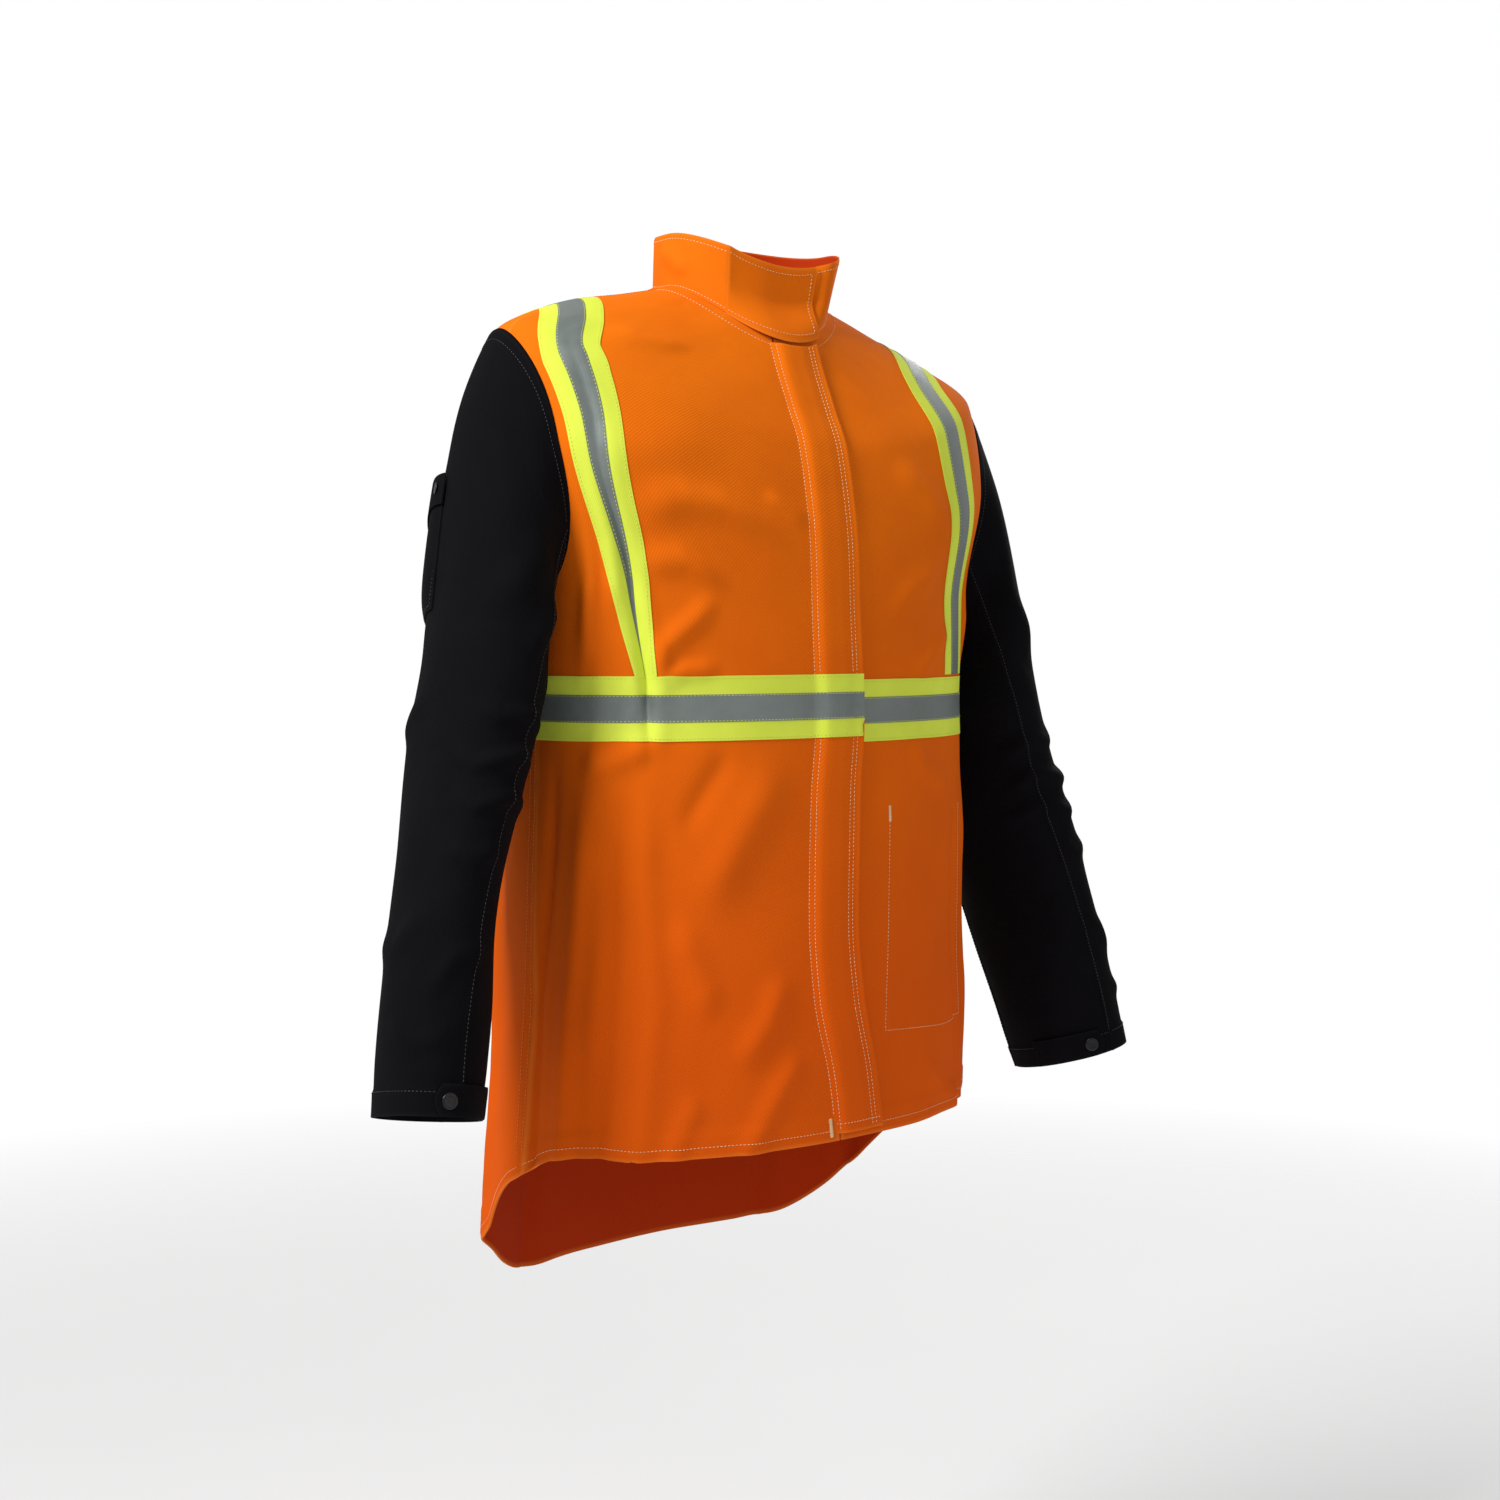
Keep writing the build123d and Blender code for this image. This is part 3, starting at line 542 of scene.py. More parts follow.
# ------------------------------------------------------------------ finishes
class Nodes:
    """Short hand for building a node tree."""

    def __init__(self, tree: bpy.types.NodeTree) -> None:
        """Args: tree: the tree that gets the nodes."""
        self.tree = tree

    def add(self, kind: str, inputs: Optional[dict] = None, **settings: object) -> bpy.types.Node:
        """Adds a node.

        Args:
            kind: the node's type name.
            inputs: values or sockets for its inputs, by name or index.
            settings: its other properties.
        Returns:
            The new node.
        """
        node = self.tree.nodes.new(kind)
        for key, value in settings.items():
            setattr(node, key, value)
        for key, value in (inputs or {}).items():
            if isinstance(value, bpy.types.NodeSocket):
                self.tree.links.new(value, node.inputs[key])
            else:
                node.inputs[key].default_value = value
        return node

    def mix(self, factor: object, first: object, second: object) -> bpy.types.NodeSocket:
        """A colour between two colours."""
        node = self.add("ShaderNodeMix", data_type="RGBA")
        for index, value in ((0, factor), (6, first), (7, second)):
            if isinstance(value, bpy.types.NodeSocket):
                self.tree.links.new(value, node.inputs[index])
            else:
                node.inputs[index].default_value = value
        return node.outputs[2]

    def maths(self, what: str, first: object, second: object = 0.0) -> bpy.types.NodeSocket:
        """One sum of two values."""
        return self.add("ShaderNodeMath", {0: first, 1: second}, operation=what).outputs[0]

    def span(self, value: bpy.types.NodeSocket, low: float, high: float, to_low: float,
             to_high: float) -> bpy.types.NodeSocket:
        """A value moved from one range to another."""
        return self.add("ShaderNodeMapRange", {0: value, 1: low, 2: high, 3: to_low,
                                               4: to_high}).outputs[0]


class Pattern:
    """A shader group that turns a place into a fine height and a broad mottle."""

    def __init__(self, name: str, scales: dict[str, float], broad: dict[str, float]) -> None:
        """Makes the group's sockets and its mottle.

        Args:
            name: the group's name.
            scales: the names and values of its scales, "Mottle" among them.
            broad: the settings of the mottle's noise.
        """
        self.tree = bpy.data.node_groups.new(name, "ShaderNodeTree")
        face = self.tree.interface
        face.new_socket("Vector", in_out="INPUT", socket_type="NodeSocketVector")
        for key, value in scales.items():
            socket = face.new_socket(key, in_out="INPUT", socket_type="NodeSocketFloat")
            socket.default_value = value
        for key in ("Height", "Mottle"):
            face.new_socket(key, in_out="OUTPUT", socket_type="NodeSocketFloat")
        self.nodes = Nodes(self.tree)
        self.given = self.tree.nodes.new("NodeGroupInput").outputs
        self.made = self.tree.nodes.new("NodeGroupOutput").inputs
        mottle = self.layer("ShaderNodeTexNoise", "Mottle", broad)
        self.tree.links.new(mottle["Fac"], self.made["Mottle"])

    def layer(self, kind: str, scale: str, inputs: dict[str, float], **settings: object
              ) -> bpy.types.NodeOutputs:
        """The outputs of one texture at one of the group's scales."""
        inputs = {"Vector": self.given["Vector"], "Scale": self.given[scale], **inputs}
        return self.nodes.add(kind, inputs, **settings).outputs

    def height(self, *layers: tuple[bpy.types.NodeSocket, float]) -> bpy.types.NodeTree:
        """Adds two layers, each by its share, into the height."""
        first, second = (self.nodes.maths("MULTIPLY", layer, share) for layer, share in layers)
        self.tree.links.new(self.nodes.maths("ADD", first, second), self.made["Height"])
        return self.tree


def twill_group() -> bpy.types.NodeTree:
    """Diagonal weave ribs with slubs, and a broad mottle, for every woven finish."""
    group = Pattern("Twill", {"Ribs": 230.0, "Slub": 900.0, "Mottle": 7.0},
                    {"Detail": 4.0, "Roughness": 0.6})
    ribs = group.layer("ShaderNodeTexWave", "Ribs", {
        "Distortion": 0.6, "Detail": 1.0, "Detail Scale": 2.0}, bands_direction="DIAGONAL")
    slub = group.layer("ShaderNodeTexNoise", "Slub", {"Detail": 2.0})
    return group.height((ribs["Fac"], 0.6), (slub["Fac"], 0.6))


def nap_group() -> bpy.types.NodeTree:
    """The brushed fibres and pebbled grain of split hide."""
    group = Pattern("Nap", {"Fibre": 1500.0, "Grain": 260.0, "Mottle": 14.0},
                    {"Detail": 6.0, "Roughness": 0.65, "Distortion": 0.6})
    fibre = group.layer("ShaderNodeTexNoise", "Fibre", {"Detail": 3.0, "Roughness": 0.7})
    grain = group.layer("ShaderNodeTexVoronoi", "Grain", {}, feature="SMOOTH_F1")
    return group.height((fibre["Fac"], 0.7), (grain["Distance"], 0.8))


def beads_group() -> bpy.types.NodeTree:
    """Glass beads bonded in fine rows across a reflective stripe."""
    group = Pattern("Beads", {"Beads": 1400.0, "Rows": 190.0, "Mottle": 22.0},
                    {"Detail": 5.0, "Roughness": 0.7})
    beads = group.layer("ShaderNodeTexVoronoi", "Beads", {})
    rows = group.layer("ShaderNodeTexWave", "Rows", {"Distortion": 0.3}, bands_direction="X")
    return group.height((beads["Distance"], 0.5), (rows["Fac"], 0.5))


class Surface(Enum):
    """The shared patterns a finish can have."""

    TWILL = "Twill"
    NAP = "Nap"
    BEADS = "Beads"


GROUP_MAKERS = {Surface.TWILL: twill_group, Surface.NAP: nap_group, Surface.BEADS: beads_group}
Colour = tuple[float, float, float]


@dataclass(frozen=True)
class Finish:
    """A woven, napped, beaded or enamelled material."""

    name: str
    slot: str
    light: Colour
    dark: Colour
    surface: Surface
    scales: tuple[float, float, float]
    roughness: tuple[float, float]
    bump: float
    bump_depth: float = 0.0004
    # painted shade: low is a deeper, darker colour that the cloth takes lower down
    low: Optional[Colour] = None
    # painted shade: a darker colour for the inner skin of the cloth, for the shade inside the
    # jacket
    painted_inside_shade: Optional[Colour] = None
    worn: Optional[Colour] = None
    sheen: float = 0.0
    metallic: float = 0.0
    specular: float = 0.5
    coat: float = 0.0
    # painted light: a little light of the finish's own colour given off, though it is no lamp
    painted_glow: float = 0.0
    on_uv: bool = True

    def material(self) -> bpy.types.Material:
        """The material, made on first use."""
        found = bpy.data.materials.get(self.name)
        return found or self._make()

    def _make(self) -> bpy.types.Material:
        """Builds the node tree."""
        material = bpy.data.materials.new(self.name)
        material.use_nodes = True
        tree = material.node_tree
        n = Nodes(tree)
        shader = tree.nodes["Principled BSDF"]
        group = bpy.data.node_groups.get(self.surface.value) or GROUP_MAKERS[self.surface]()
        object_place = n.add("ShaderNodeTexCoord").outputs["Object"]
        place = n.add("ShaderNodeUVMap").outputs[0] if self.on_uv else object_place
        pattern = n.add("ShaderNodeGroup", node_tree=group)
        tree.links.new(place, pattern.inputs["Vector"])
        for socket, value in zip(list(pattern.inputs)[1:], self.scales):
            socket.default_value = value
        mottle = pattern.outputs["Mottle"]
        patches = n.span(mottle, 0.32, 0.68, 0.0, 1.0)
        colour = n.mix(patches, (*self.dark, 1), (*self.light, 1))
        # Painted shade: the colour turns deeper and darker between heights -0.10 m and -0.62 m,
        # for the shade over the lower jacket.
        if self.low:
            height = n.add("ShaderNodeSeparateXYZ", {0: object_place}).outputs["Z"]
            fall = n.span(height, -0.62, -0.10, 1.0, 0.0)
            painted_bottom_shade = n.mix(patches, tuple(0.93 * c for c in self.low) + (1,), (*self.low, 1))
            colour = n.mix(fall, colour, painted_bottom_shade)
        # Painted shade: the inner skin of the cloth is made darker, for the shade inside the
        # jacket.
        if self.painted_inside_shade:
            inner = n.add("ShaderNodeAttribute", attribute_name="inner").outputs["Fac"]
            colour = n.mix(inner, colour, (*self.painted_inside_shade, 1))
        if self.worn:
            rim = n.add("ShaderNodeAttribute", attribute_name="rim").outputs["Fac"]
            rub = n.maths("MULTIPLY", n.maths("MULTIPLY", rim, 0.8), mottle)
            colour = n.mix(rub, colour, (*self.worn, 1))
        tree.links.new(colour, shader.inputs["Base Color"])
        tree.links.new(n.span(mottle, 0.3, 0.7, *self.roughness), shader.inputs["Roughness"])
        bump = n.add("ShaderNodeBump", {"Strength": self.bump, "Distance": self.bump_depth,
                                        "Height": pattern.outputs["Height"]})
        tree.links.new(bump.outputs[0], shader.inputs["Normal"])
        for key, value in (("Metallic", self.metallic), ("Specular IOR Level", self.specular),
                           ("Sheen Weight", self.sheen), ("Sheen Roughness", 0.5),
                           ("Coat Weight", self.coat), ("Coat Roughness", 0.18)):
            shader.inputs[key].default_value = value
        # Painted light: the colour is also emitted, so the piece glows though it is no lamp.
        if self.painted_glow:
            tree.links.new(colour, shader.inputs["Emission Color"])
            shader.inputs["Emission Strength"].default_value = self.painted_glow
        return material


# Painted shade: the low colour makes the cotton deeper and darker towards the bottom.
COTTON = Finish("orange_cotton_twill", "cotton", (0.86, 0.176, 0.003), (0.74, 0.138, 0.002),
                Surface.TWILL, (215.0, 850.0, 6.5), (0.80, 0.92), 0.40, low=(0.74, 0.100, 0.002),
                # painted shade: the inner skin gets a darker red-orange
                painted_inside_shade=(0.40, 0.026, 0.001), worn=(0.86, 0.24, 0.03), specular=0.08)
SPLIT = Finish("black_split_leather", "split_leather", (0.0042, 0.0038, 0.0052),
               (0.0018, 0.0016, 0.0024), Surface.NAP, (1500.0, 230.0, 13.0), (0.80, 0.97), 0.60,
               bump_depth=0.0006, worn=(0.009, 0.008, 0.010), specular=0.07)
# painted light: the lime tape glows a little
LIME = Finish("lime_backing_tape", "backing_tape", (0.70, 0.80, 0.075), (0.60, 0.70, 0.055),
              Surface.TWILL, (300.0, 1100.0, 9.0), (0.66, 0.80), 0.35, specular=0.2, painted_glow=0.06)
SILVER = Finish("silver_reflective_stripe", "reflective_stripe", (0.205, 0.232, 0.218),
                (0.150, 0.175, 0.165), Surface.BEADS, (1400.0, 210.0, 16.0), (0.38, 0.58), 0.35,
                bump_depth=0.0002, metallic=0.25, specular=0.5)
ENAMEL = Finish("black_enamelled_snap", "snap_black", (0.006, 0.006, 0.007),
                (0.003, 0.003, 0.004), Surface.NAP, (600.0, 90.0, 60.0), (0.30, 0.45), 0.10,
                metallic=0.1, coat=0.2, specular=0.3, on_uv=False, bump_depth=0.0001)
HOOKS = Finish("orange_hook_and_loop", "hook_and_loop", (0.70, 0.145, 0.008),
               (0.52, 0.090, 0.006), Surface.NAP, (1100.0, 420.0, 40.0), (0.85, 0.95), 0.9,
               bump_depth=0.0009, sheen=0.25)
LABEL = Finish("plain_woven_label", "label", (0.78, 0.77, 0.73), (0.68, 0.67, 0.62),
               Surface.TWILL, (420.0, 1200.0, 30.0), (0.6, 0.75), 0.3)


def thread(name: str, light: Colour, dark: Colour,
           roughness: tuple[float, float] = (0.5, 0.7)) -> Finish:
    """Twisted sewing thread."""
    return Finish(name, "thread", light, dark, Surface.TWILL, (600.0, 2500.0, 90.0), roughness,
                  0.3, on_uv=False)


CREAM = thread("cream_thread", (0.88, 0.62, 0.36), (0.74, 0.46, 0.22))
LIME_THREAD = thread("lime_thread", (0.66, 0.78, 0.07), (0.52, 0.62, 0.05))
RUST_THREAD = thread("orange_thread", (0.90, 0.30, 0.05), (0.80, 0.22, 0.03))
BLACK_THREAD = thread("black_thread", (0.030, 0.030, 0.033), (0.018, 0.018, 0.020), (0.35, 0.5))


# ------------------------------------------------------------------ meshes
def new_object(name: str, points: Array, faces: Sequence[Sequence[int]]) -> bpy.types.Object:
    """A mesh object at the origin.

    Args:
        name: the piece's name.
        points: its vertices in millimetres.
        faces: vertex numbers of each face.
    Returns:
        The object, linked to the scene.
    """
    mesh = bpy.data.meshes.new(name)
    mesh.from_pydata((np.asarray(points, float) * MM).tolist(), [],
                     [list(map(int, f)) for f in faces])
    mesh.update()
    obj = bpy.data.objects.new(name, mesh)
    bpy.context.scene.collection.objects.link(obj)
    mesh.shade_smooth()
    return obj


@dataclass(frozen=True)
class Hinge:
    """Where a piece bends between two bodies; start and end in metres."""

    parent: str
    child: str
    start: tuple[float, float, float]
    end: tuple[float, float, float]


Moves = Union[str, Hinge]


@dataclass(frozen=True)
class Cut:
    """The size a sheet was cut to, in metres and square metres."""

    width: float
    length: float
    area: float


def cut_of(rule: Rule, place: Place, keep: Optional[Callable[[Array], Array]] = None) -> Cut:
    """The flat size of a patch of a rule, from the smooth surface."""
    i, j = np.meshgrid(np.linspace(0, 1, 61), np.linspace(0, 1, 61), indexing="ij")
    points = rule.bare(*place(i, j)) * MM
    across = np.linalg.norm(np.diff(points, axis=0), axis=-1).sum(0).max()
    along = np.linalg.norm(np.diff(points, axis=1), axis=-1).sum(1).max()
    a, b = np.diff(points, axis=0)[:, :-1], np.diff(points, axis=1)[:-1, :]
    cell = np.linalg.norm(np.cross(a, b), axis=-1)
    if keep is not None:
        cell = cell * keep(points[:-1, :-1] / MM)
    return Cut(float(across), float(along), float(cell.sum()))


def dress(obj: bpy.types.Object, finish: Finish, moves: Moves,
          stands_for: Sequence[str] = (), cut: Optional[Cut] = None) -> bpy.types.Object:
    """Gives a finished mesh its material, parents it to its body and hides the CAD parts that it
    stands for; a piece on a hinge only has its transform baked.

    Args:
        obj: the piece.
        finish: its material.
        moves: the body it rides on, or the hinge it bends across, for which the transform is only
            baked.
        stands_for: CAD nodes that it replaces.
        cut: its flat size, where it is a sheet; not used, except that a piece without one has its
            name logged.
    Returns:
        The piece.
    """
    obj.data.materials.clear()
    obj.data.materials.append(finish.material())
    if isinstance(moves, Hinge):
        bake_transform(obj)
    else:
        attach(obj, moves)
    if stands_for:
        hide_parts(*stands_for)
    if cut is not None:
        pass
    else:
        LOG.info("%s", obj.name)
    return obj


def at(lift: Lift, i: Array, j: Array) -> Array:
    """A lift as an array."""
    return lift(i, j) if callable(lift) else np.full(np.shape(i), float(lift))


@dataclass
class Wall:
    """A closed wall of cloth over a patch of a rule."""

    name: str
    rule: Rule
    place: Place
    counts: tuple[int, int]
    inner: Lift
    outer: Lift
    hole: Optional[Callable[[Array], tuple[Array, Array]]] = None

    def build(self) -> bpy.types.Object:
        """Makes the mesh, with its pattern coordinates and its inner and rim masks."""
        columns, rows = self.counts
        i, j = np.meshgrid(np.linspace(0, 1, columns), np.linspace(0, 1, rows), indexing="ij")
        angle, level = self.place(i, j)
        if self.hole:
            cut, (angle, level) = self._hole(angle, level)
        else:
            cut = np.zeros(i.shape, bool)
        points, normals = self.rule.skin(angle, level)
        skins = [(points + normals * at(lift, i, j)[..., None]).reshape(-1, 3)
                 for lift in (self.outer, self.inner)]
        count = columns * rows
        k = np.arange(count).reshape(columns, rows)
        quads = np.stack([k[:-1, :-1], k[1:, :-1], k[1:, 1:], k[:-1, 1:]], -1).reshape(-1, 4)
        quads = quads[~cut.reshape(-1)[quads].all(axis=1)]
        middle = quads[len(quads) // 2]
        p = skins[0][middle]
        facing = np.cross(p[1] - p[0], p[3] - p[0])
        outward = skins[0][middle[0]] - skins[1][middle[0]]
        if facing @ outward < 0:
            quads = quads[:, ::-1]
        edges = np.concatenate([quads[:, [a, (a + 1) % 4]] for a in range(4)])
        keys = np.minimum(edges[:, 0], edges[:, 1]) * count + edges.max(axis=1)
        _, first, times = np.unique(keys, return_index=True, return_counts=True)
        rim = edges[first[times == 1]]
        sides = np.stack([rim[:, 1], rim[:, 0], rim[:, 0] + count, rim[:, 1] + count], -1)
        faces = np.concatenate([quads, quads[:, ::-1] + count, sides])
        used = np.unique(faces)
        renumber = np.zeros(2 * count, int)
        renumber[used] = np.arange(len(used))
        obj = new_object(self.name, np.concatenate(skins)[used], renumber[faces])
        flat = np.stack([angle.ravel() * self.rule.per_degree,
                         level.ravel() * self.rule.per_level], -1) * MM
        self._pattern(obj, np.concatenate([flat, flat])[used])
        self._mask(obj, "inner", (used >= count).astype(float))
        self._mask(obj, "rim", np.isin(used % count, np.unique(rim)).astype(float))
        obj.data.set_sharp_from_angle(angle=math.radians(60))
        return obj

    def _hole(self, angle: Array, level: Array) -> tuple[Array, tuple[Array, Array]]:
        """Which points are in a hole, and the grid with those moved to its edge."""
        inside = self.hole(self.rule.bare(angle, level))[0]
        near = inside.copy()
        for axis in (0, 1):
            for step in (-1, 1):
                near &= np.roll(inside, step, axis)
        moved_angle, moved_level = angle.copy(), level.copy()
        lip = inside & ~near
        a, v = angle[lip], level[lip]
        for _ in range(12):
            here = self.rule.bare(a, v)
            _, pull = self.hole(here)
            length = np.linalg.norm(pull, axis=-1)
            heading = pull / (length[..., None] + 1e-9)
            a, v = self.rule.walk(a, v, heading, length * 0.8)
        moved_angle[lip], moved_level[lip] = a, v
        return inside, (moved_angle, moved_level)

    @staticmethod
    def _pattern(obj: bpy.types.Object, flat: Array) -> None:
        """Writes the pattern coordinates, in metres of cloth."""
        layer = obj.data.uv_layers.new(name="cloth")
        loops = np.zeros(len(obj.data.loops), np.int32)
        obj.data.loops.foreach_get("vertex_index", loops)
        layer.data.foreach_set("uv", flat[loops].astype(np.float32).ravel())

    @staticmethod
    def _mask(obj: bpy.types.Object, name: str, values: Array) -> None:
        """Writes a value for each vertex."""
        mask = obj.data.attributes.new(name, "FLOAT", "POINT")
        mask.data.foreach_set("value", values.astype(np.float32))


def span_place(angles: tuple[float, float], levels: tuple[float, float]) -> Place:
    """A plain range of angles and levels."""
    def place(i: Array, j: Array) -> tuple[Array, Array]:
        """The angle and level at a share of each range."""
        return (angles[0] + (angles[1] - angles[0]) * i,
                levels[0] + (levels[1] - levels[0]) * j)
    return place


def armhole_hole(points: Array) -> tuple[Array, Array]:
    """Whether points are inside an armhole, and the way from each to its edge."""
    inside = np.zeros(points.shape[:-1], bool)
    pull = np.zeros(points.shape)
    for side, sign in SIGN.items():
        y = (points[..., 1] - ARMHOLE_Y) / ARMHOLE_HALF_DEPTH
        z = (points[..., 2] - ARMHOLE_Z[side]) / ARMHOLE_HALF_HEIGHT
        size = np.hypot(y, z) + 1e-6
        beside = points[..., 0] * sign > 120
        inside |= beside & (size < 1)
        pull[..., 1] += np.where(beside, y * (1 / size - 1) * ARMHOLE_HALF_DEPTH, 0)
        pull[..., 2] += np.where(beside, z * (1 / size - 1) * ARMHOLE_HALF_HEIGHT, 0)
    return inside, pull


def outside_armholes(points: Array) -> Array:
    """Which points are left when the armholes are cut out."""
    return ~armhole_hole(points)[0]


def tube_faces(rings: int, around: int, closed: bool) -> list[tuple[int, int, int, int]]:
    """Faces of a tube whose points stand ring after ring.

    Args:
        rings: how many rings it has.
        around: how many points each ring has.
        closed: whether the last ring joins the first.
    Returns:
        The vertex numbers of each face.
    """
    faces = []
    for ring in range(rings if closed else rings - 1):
        a, b = ring * around, (ring + 1) % rings * around
        for k in range(around):
            m = (k + 1) % around
            faces.append((a + k, a + m, b + m, b + k))
    return faces


def finish_tube(obj: bpy.types.Object, first: int, second: int) -> None:
    """Turns a closed mesh's faces outwards and writes its pattern coordinates.

    Args:
        obj: the mesh.
        first, second: which two of its axes the pattern lies along.
    """
    mesh = bmesh.new()
    mesh.from_mesh(obj.data)
    bmesh.ops.recalc_face_normals(mesh, faces=mesh.faces)
    mesh.to_mesh(obj.data)
    mesh.free()
    layer = obj.data.uv_layers.new(name="cloth")
    for loop in obj.data.loops:
        co = obj.data.vertices[loop.vertex_index].co
        layer.data[loop.index].uv = (co[first], co[second])


# ------------------------------------------------------------------ repeated small parts
def scatter_tree() -> bpy.types.NodeTree:
    """Places a small shape on every point, turned by the point's own directions."""
    found = bpy.data.node_groups.get("Scatter")
    if found:
        return found
    tree = bpy.data.node_groups.new("Scatter", "GeometryNodeTree")
    face = tree.interface
    face.new_socket("Geometry", in_out="INPUT", socket_type="NodeSocketGeometry")
    for name, kind, value in (("Shape", "NodeSocketObject", None),
                              ("Size", "NodeSocketVector", (1, 1, 1)),
                              ("Unevenness", "NodeSocketFloat", 0.1),
                              ("Seed", "NodeSocketInt", 7),
                              ("Material", "NodeSocketMaterial", None)):
        socket = face.new_socket(name, in_out="INPUT", socket_type=kind)
        if value is not None:
            socket.default_value = value
    face.new_socket("Geometry", in_out="OUTPUT", socket_type="NodeSocketGeometry")
    n = Nodes(tree)
    given, made = tree.nodes.new("NodeGroupInput"), tree.nodes.new("NodeGroupOutput")
    out = n.add("GeometryNodeInputNamedAttribute", {"Name": "out"}, data_type="FLOAT_VECTOR")
    run = n.add("GeometryNodeInputNamedAttribute", {"Name": "run"}, data_type="FLOAT_VECTOR")
    turn = n.add("FunctionNodeAxesToRotation", {"Primary Axis": out.outputs["Attribute"],
                                                "Secondary Axis": run.outputs["Attribute"]},
                 primary_axis="Z", secondary_axis="X")
    low = n.maths("SUBTRACT", 1.0, given.outputs["Unevenness"])
    high = n.maths("ADD", 1.0, given.outputs["Unevenness"])
    uneven = n.add("FunctionNodeRandomValue", {2: low, 3: high,
                                               "Seed": given.outputs["Seed"]})
    size = n.add("ShaderNodeVectorMath", {0: given.outputs["Size"],
                                          "Scale": uneven.outputs[1]}, operation="SCALE")
    shape = n.add("GeometryNodeObjectInfo", {"Object": given.outputs["Shape"]})
    placed = n.add("GeometryNodeInstanceOnPoints",
                   {"Points": given.outputs["Geometry"], "Instance": shape.outputs["Geometry"],
                    "Rotation": turn.outputs["Rotation"], "Scale": size.outputs[0]})
    real = n.add("GeometryNodeRealizeInstances", {0: placed.outputs["Instances"]})
    painted = n.add("GeometryNodeSetMaterial", {"Geometry": real.outputs[0],
                                                "Material": given.outputs["Material"]})
    tree.links.new(painted.outputs[0], made.inputs["Geometry"])
    return tree


@dataclass
class Scatter:
    """Many copies of one small shape, as one plain mesh."""

    name: str
    shape: bpy.types.Object
    size: tuple[float, float, float]
    finish: Finish
    unevenness: float = 0.08
    seed: int = 11

    def build(self, points: Array, runs: Array, outs: Array) -> bpy.types.Object:
        """Makes the mesh.

        Args:
            points: where each copy goes, in millimetres.
            runs: the way each one lies.
            outs: the way each one faces.
        Returns:
            A plain mesh object.
        """
        base = new_object(f"{self.name}_points", points, [])
        for key, value in (("run", runs), ("out", outs)):
            attribute = base.data.attributes.new(key, "FLOAT_VECTOR", "POINT")
            attribute.data.foreach_set("vector", np.asarray(value, np.float32).ravel())
        tree = scatter_tree()
        modifier = base.modifiers.new("Scatter", "NODES")
        modifier.node_group = tree
        values = {"Shape": self.shape, "Size": self.size, "Unevenness": self.unevenness,
                  "Seed": self.seed, "Material": self.finish.material()}
        for item in tree.interface.items_tree:
            if item.item_type == "SOCKET" and item.in_out == "INPUT" and item.name in values:
                modifier[item.identifier] = values[item.name]
        base.update_tag()
        bpy.context.view_layer.update()
        graph = bpy.context.evaluated_depsgraph_get()
        mesh = bpy.data.meshes.new_from_object(base.evaluated_get(graph))
        base.modifiers.clear()
        mesh.name = self.name
        obj = bpy.data.objects.new(self.name, mesh)
        bpy.context.scene.collection.objects.link(obj)
        bpy.data.objects.remove(base)
        obj.data.shade_smooth()
        return obj


def lathe_shape(name: str, profile: Sequence[tuple[float, float]], around: int
                ) -> bpy.types.Object:
    """A turned shape about Z, in metres, kept out of the render.

    Args:
        name: its name.
        profile: radius and height points in millimetres, first and last on the axis or
            joined to each other.
        around: how many steps round the axis.
    Returns:
        The shape to copy.
    """
    turns = [2 * math.pi * k / around for k in range(around)]
    closed = profile[0][0] > 0
    ring = list(profile) if closed else list(profile[1:-1])
    points = [(r * math.cos(t), r * math.sin(t), z) for r, z in ring for t in turns]
    faces = tube_faces(len(ring), around, closed)
    if not closed:
        points += [(0, 0, profile[0][1]), (0, 0, profile[-1][1])]
        low, high = len(points) - 2, len(points) - 1
        last = (len(ring) - 1) * around
        for k in range(around):
            m = (k + 1) % around
            faces.append((low, m, k))
            faces.append((high, last + k, last + m))
    obj = new_object(name, np.array(points), faces)
    obj.hide_render = True
    obj.hide_viewport = False
    return obj


@dataclass(frozen=True)
class Row:
    """A row of stitches along a path on a rule."""

    rule: Rule
    path: Path
    lift: Lift
    pitch: float = 3.3
    turned: bool = False

    def places(self) -> tuple[Array, Array, Array]:
        """Where each stitch goes, the way it runs and the way it faces."""
        t = np.linspace(0, 1, 260)
        angle, level = self.path(t)
        angle, level = np.broadcast_arrays(np.asarray(angle, float), np.asarray(level, float))
        points, outs = self.rule.skin(angle, level)
        points = points + outs * at(self.lift, angle, level)[..., None]
        gone = np.concatenate([[0], np.cumsum(np.linalg.norm(np.diff(points, axis=0),
                                                             axis=1))])
        count = max(2, int(gone[-1] / self.pitch))
        stops = (np.arange(count) + 0.5) * gone[-1] / count
        pick = [np.stack([np.interp(stops, gone, v[:, c]) for c in range(3)], -1)
                for v in (points, outs, np.gradient(points, axis=0))]
        places, outs, runs = pick
        if self.turned:
            runs = np.cross(outs, runs)
        runs = runs / np.linalg.norm(runs, axis=-1, keepdims=True)
        return places, runs, outs


